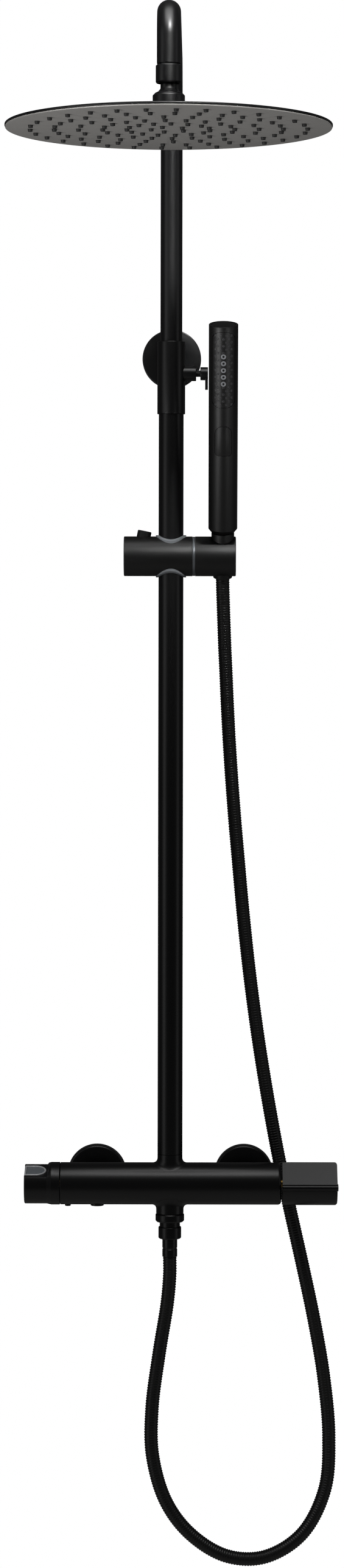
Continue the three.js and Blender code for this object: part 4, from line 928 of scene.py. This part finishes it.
valve = turned("valve_casting", [(0, -110), (21, -110, 0.6), (21, 111.6, 3), (0, 111.6)], BAR @ ALONG_X, 128)
spigot = [
    (0, 48), (10.9, 48, 0.5), (10.9, 41), (9.4, 41),
    (9.4, 38), (10.9, 38), (10.9, 29.7), (12.5, 29.7, 0.3),
]
UPSIDE_DOWN = BAR @ Matrix.Rotation(radians(180), 4, "X")
stubs = [
    turned(
        "inlet_stub", [(0, 5), (9.8, 5), (9.8, 27.5), (12, 27.5, 0.3), (12, 30, 0.3), (0, 30)],
        BAR @ at(side * 75, 0, 0) @ INTO_WALL, 64,
    )
    for side in (-1, 1)
]
combined(
    valve,
    joined=[
        blended_boss("spigot", 12.5, 18.0, spigot, BAR),
        blended_boss("hose_boss", 13.75, 18.6, [(0, 29.4), (13.75, 29.4, 0.5)], UPSIDE_DOWN),
        *stubs,
    ],
    cut=[
        bore(16, -111, -62, BAR @ ALONG_X),
        bore(16, 62, 113, BAR @ ALONG_X),
        bore(7, -63, 63, BAR @ ALONG_X),
        bore(7, 0, 49, BAR),
        bore(8.3, -31, -15.7, BAR),
        bore(6.95, -23, -15, BAR @ at(-73, 0, 0)),
        bore(3.25, -23, -15, BAR @ at(-102.5, 0, 0), 32),
        bore(7, 0, 31, BAR @ at(-75, 0, 0) @ INTO_WALL),
        bore(7, 0, 31, BAR @ at(75, 0, 0) @ INTO_WALL),
    ],
)
finish(valve, black_coat, "black_lacquer", "fixed_column", "valve_body")
for name, x, radius, low in (
    ("service_cap", -73, 6.65, -22.2),
    ("cartridge_grub_screw", -102.5, 2.95, -22.6),
):
    finish(
        turned(
            name + "_turned",
            [(0, low), (radius, low, 0.6), (radius, -16.5), (0, -16.5)],
            BAR @ at(x, 0, 0),
            48,
        ),
        black_coat, "black_lacquer", "fixed_column", name,
    )

# Inlets: a hexagon nut holds each stub to its wall union, and a pressed rose covers the hole.
for name, side in (("hot", -1), ("cold", 1)):
    INLET = BAR @ at(side * 75, 0, 0) @ INTO_WALL
    corner_radius = 30 / sqrt(3)
    hexagon = [
        (corner_radius * cos(radians(60 * k)), corner_radius * sin(radians(60 * k)), 0.4) for k in range(6)
    ]
    nut = extruded(name + "_nut_milled", hexagon, 24, 44, INLET)
    chamfer = turned(
        "chamfer", [(0, 24), (15.2, 24), (17.5, 25.6), (17.5, 42.4), (15.2, 44), (0, 44)], INLET
    )
    combined(nut, cut=[bore(10.1, 23, 27.5, INLET), bore(13.2, 27.2, 45, INLET)], kept=[chamfer])
    finish(nut, black_coat, "black_lacquer", "fixed_column", name + "_inlet_nut")
    finish(
        turned(
            name + "_rose_pressed",
            [(10.5, 12.5), (28.5, 12.5, 1.5), (28.5, 0), (30, 0, 0.2), (30, 14, 2.5), (10.5, 14, 0.4)],
            at(side * 75, 0, BAR_HEIGHT) @ OFF_WALL,
        ),
        black_coat, "black_lacquer", "fixed_column", name + "_escutcheon",
    )

# ------------------------------------------------------------------------------- temperature knob
# Turned and milled: a flat along the top holds a grey stop button, and the knob flares to a collar
# beside the bar. Pressing the button lets the knob pass its warm stop.
FACET = BAR @ Matrix.Rotation(radians(18), 4, "X")
knob = turned(
    "temperature_knob_milled",
    [
        (0, -146), (20.15, -146, 1.2), (20.15, -123.5, 3), (21.2, -118.9, 2), (21.2, -110.4, 0.5),
        (17.6, -110.4), (17.6, -117), (4.1, -117), (4.1, -130.3), (0, -130.3),
    ],
    BAR @ ALONG_X,
    160,
)


def stop_outline(grow, end):
    """Straight sides from the knob's end and a half circle about the button's centre."""
    reach = 10.3 + grow
    arc = [(-134.4 + reach * cos(a), reach * sin(a)) for a in np.radians(np.linspace(-90, 90, 25))]
    return [(end, -reach), *arc, (end, reach)]


milling = extruded(
    "milling",
    [(-147, 13.9), (-123, 13.9), (-119.5, 22.7), (-119.5, 28), (-147, 28)],
    -30, 30,
    FACET @ Matrix.Rotation(radians(90), 4, "X"),
)
combined(knob, cut=[milling, extruded("pocket", stop_outline(0.3, -147), 8.4, 20, FACET)])
soften(knob, 0.3, 2, 40)
finish(knob, black_coat, "black_lacquer", "temperature_knob", "temperature_handle")

# The stop button: grey moulded plastic with a broad bevel round a flat that sinks a little.
grey_button, tree, shader, place = surface("grey_moulded_button", "#7d8388", 0.4)
grain(tree, shader, place, 0.9, 0.01, 0.34, 0.44)
stop = extruded("stop_button_moulded", stop_outline(-2, -143.8), 10.8, 13.9, FACET)
soften(stop, 0.3, 2, 60)
finish(stop, grey_button, "grey_plastic", "stop_button", "safety_stop_button")
# A rim round the button, coloured near white: a painted highlight for the light its raised edge catches.
rim_painted_highlight, tree, shader, place = surface("satin_chromed_rim", "#e2e4e6", 0.35, metallic=0.3)
grain(tree, shader, place, 0.6, 0.003, 0.26, 0.36)
rim = extruded("stop_button_rim_plated", stop_outline(0, -145.8), 10.8, 14.6, FACET)
combined(rim, cut=[extruded("inside", stop_outline(-1.8, -144), 10, 15, FACET)])
soften(rim, 0.6, 3, 60)
finish(rim, rim_painted_highlight, "grey_plastic", "stop_button")
spring_between(
    coil("stop_spring_wound", 3.4, 0.35, 8.95, 10.25, 2, FACET @ at(-134.4, 0, 0)),
    FACET @ at(-134.4, 0, 0), 8.9, 10.3, "temperature_knob", "stop_button", "stop_button_spring",
)

# ------------------------------------------------------------------------------- flow knob
# Turned, with a long milled flat that runs out into a thin finger lip along its lower edge.
flow = turned(
    "flow_knob_milled",
    [(0, 113), (21.3, 113, 0.6), (21.3, 168, 2.6), (0, 168)],
    BAR @ ALONG_X,
    160,
)
LIP = BAR @ Matrix(((0, 0, 1, 0), (-1, 0, 0, 0), (0, 1, 0, 0), (0, 0, 0, 1)))
combined(
    flow,
    cut=[
        extruded(
            "milling", [(110, -30), (171, -30), (171, 30), (110, 30)], 14.9, 40,
            BAR @ Matrix.Rotation(radians(45), 4, "X"),
        ),
    ],
)
lip = extruded(
    "lip",
    [
        (16, 2), (19.1, 1.8, 3), (23.3, 1.1, 0.5), (24.2, 0.2, 0.5),
        (24.2, -2, 0.8), (23.4, -3.1, 1.5), (20.6, -4.6, 2), (16, -4.6),
    ],
    112.9, 168.6, LIP,
)
combined(
    flow,
    joined=[lip],
    cut=[bore(12.6, 112, 124, BAR @ ALONG_X, 96), bore(4.1, 123, 148.3, BAR @ ALONG_X, 48)],
)
soften(flow, 0.3, 2, 40)
finish(flow, black_coat, "black_lacquer", "flow_knob", "flow_handle")

# ------------------------------------------------------------------------------- hose outlet
# A turned brass union in the bar's boss, a plain round nut for the hose, and the ferrule
# crimped on the hose.
finish(
    turned(
        "outlet_union_turned",
        [
            (5, -50), (10.2, -50, 0.4), (10.2, -38.2), (13.2, -38.2, 0.6), (14.4, -36.8, 0.8),
            (14.4, -31, 0.8), (13.2, -29.7, 0.6), (8, -29.7), (8, -16), (5, -16),
        ],
        BAR,
    ),
    black_coat, "black_lacquer", "fixed_column", "hose_outlet_union",
)
finish(
    turned(
        "lower_nut_turned",
        [
            (7, -55.1), (10.5, -55.1, 0.3), (11.45, -54.1, 0.5), (11.45, -43.8, 0.5), (10.5, -42.8, 0.3),
            (10.5, -52.6), (7, -52.6),
        ],
        BAR,
    ),
    black_coat, "black_lacquer", "fixed_column", "lower_hose_nut",
)
finish(
    turned(
        "lower_ferrule_crimped",
        [
            (4, -73.4), (7.5, -73.4, 0.5), (7.5, -66), (7.1, -65.4, 0.4), (7.1, -64.6, 0.4), (7.5, -64),
            (7.5, -55.4, 0.5), (6.7, -55.4), (6.7, -52.3), (9.6, -52.3), (9.6, -50.3), (4, -50.3),
        ],
        BAR,
    ),
    black_coat, "black_lacquer", "fixed_column", "lower_hose_ferrule",
)
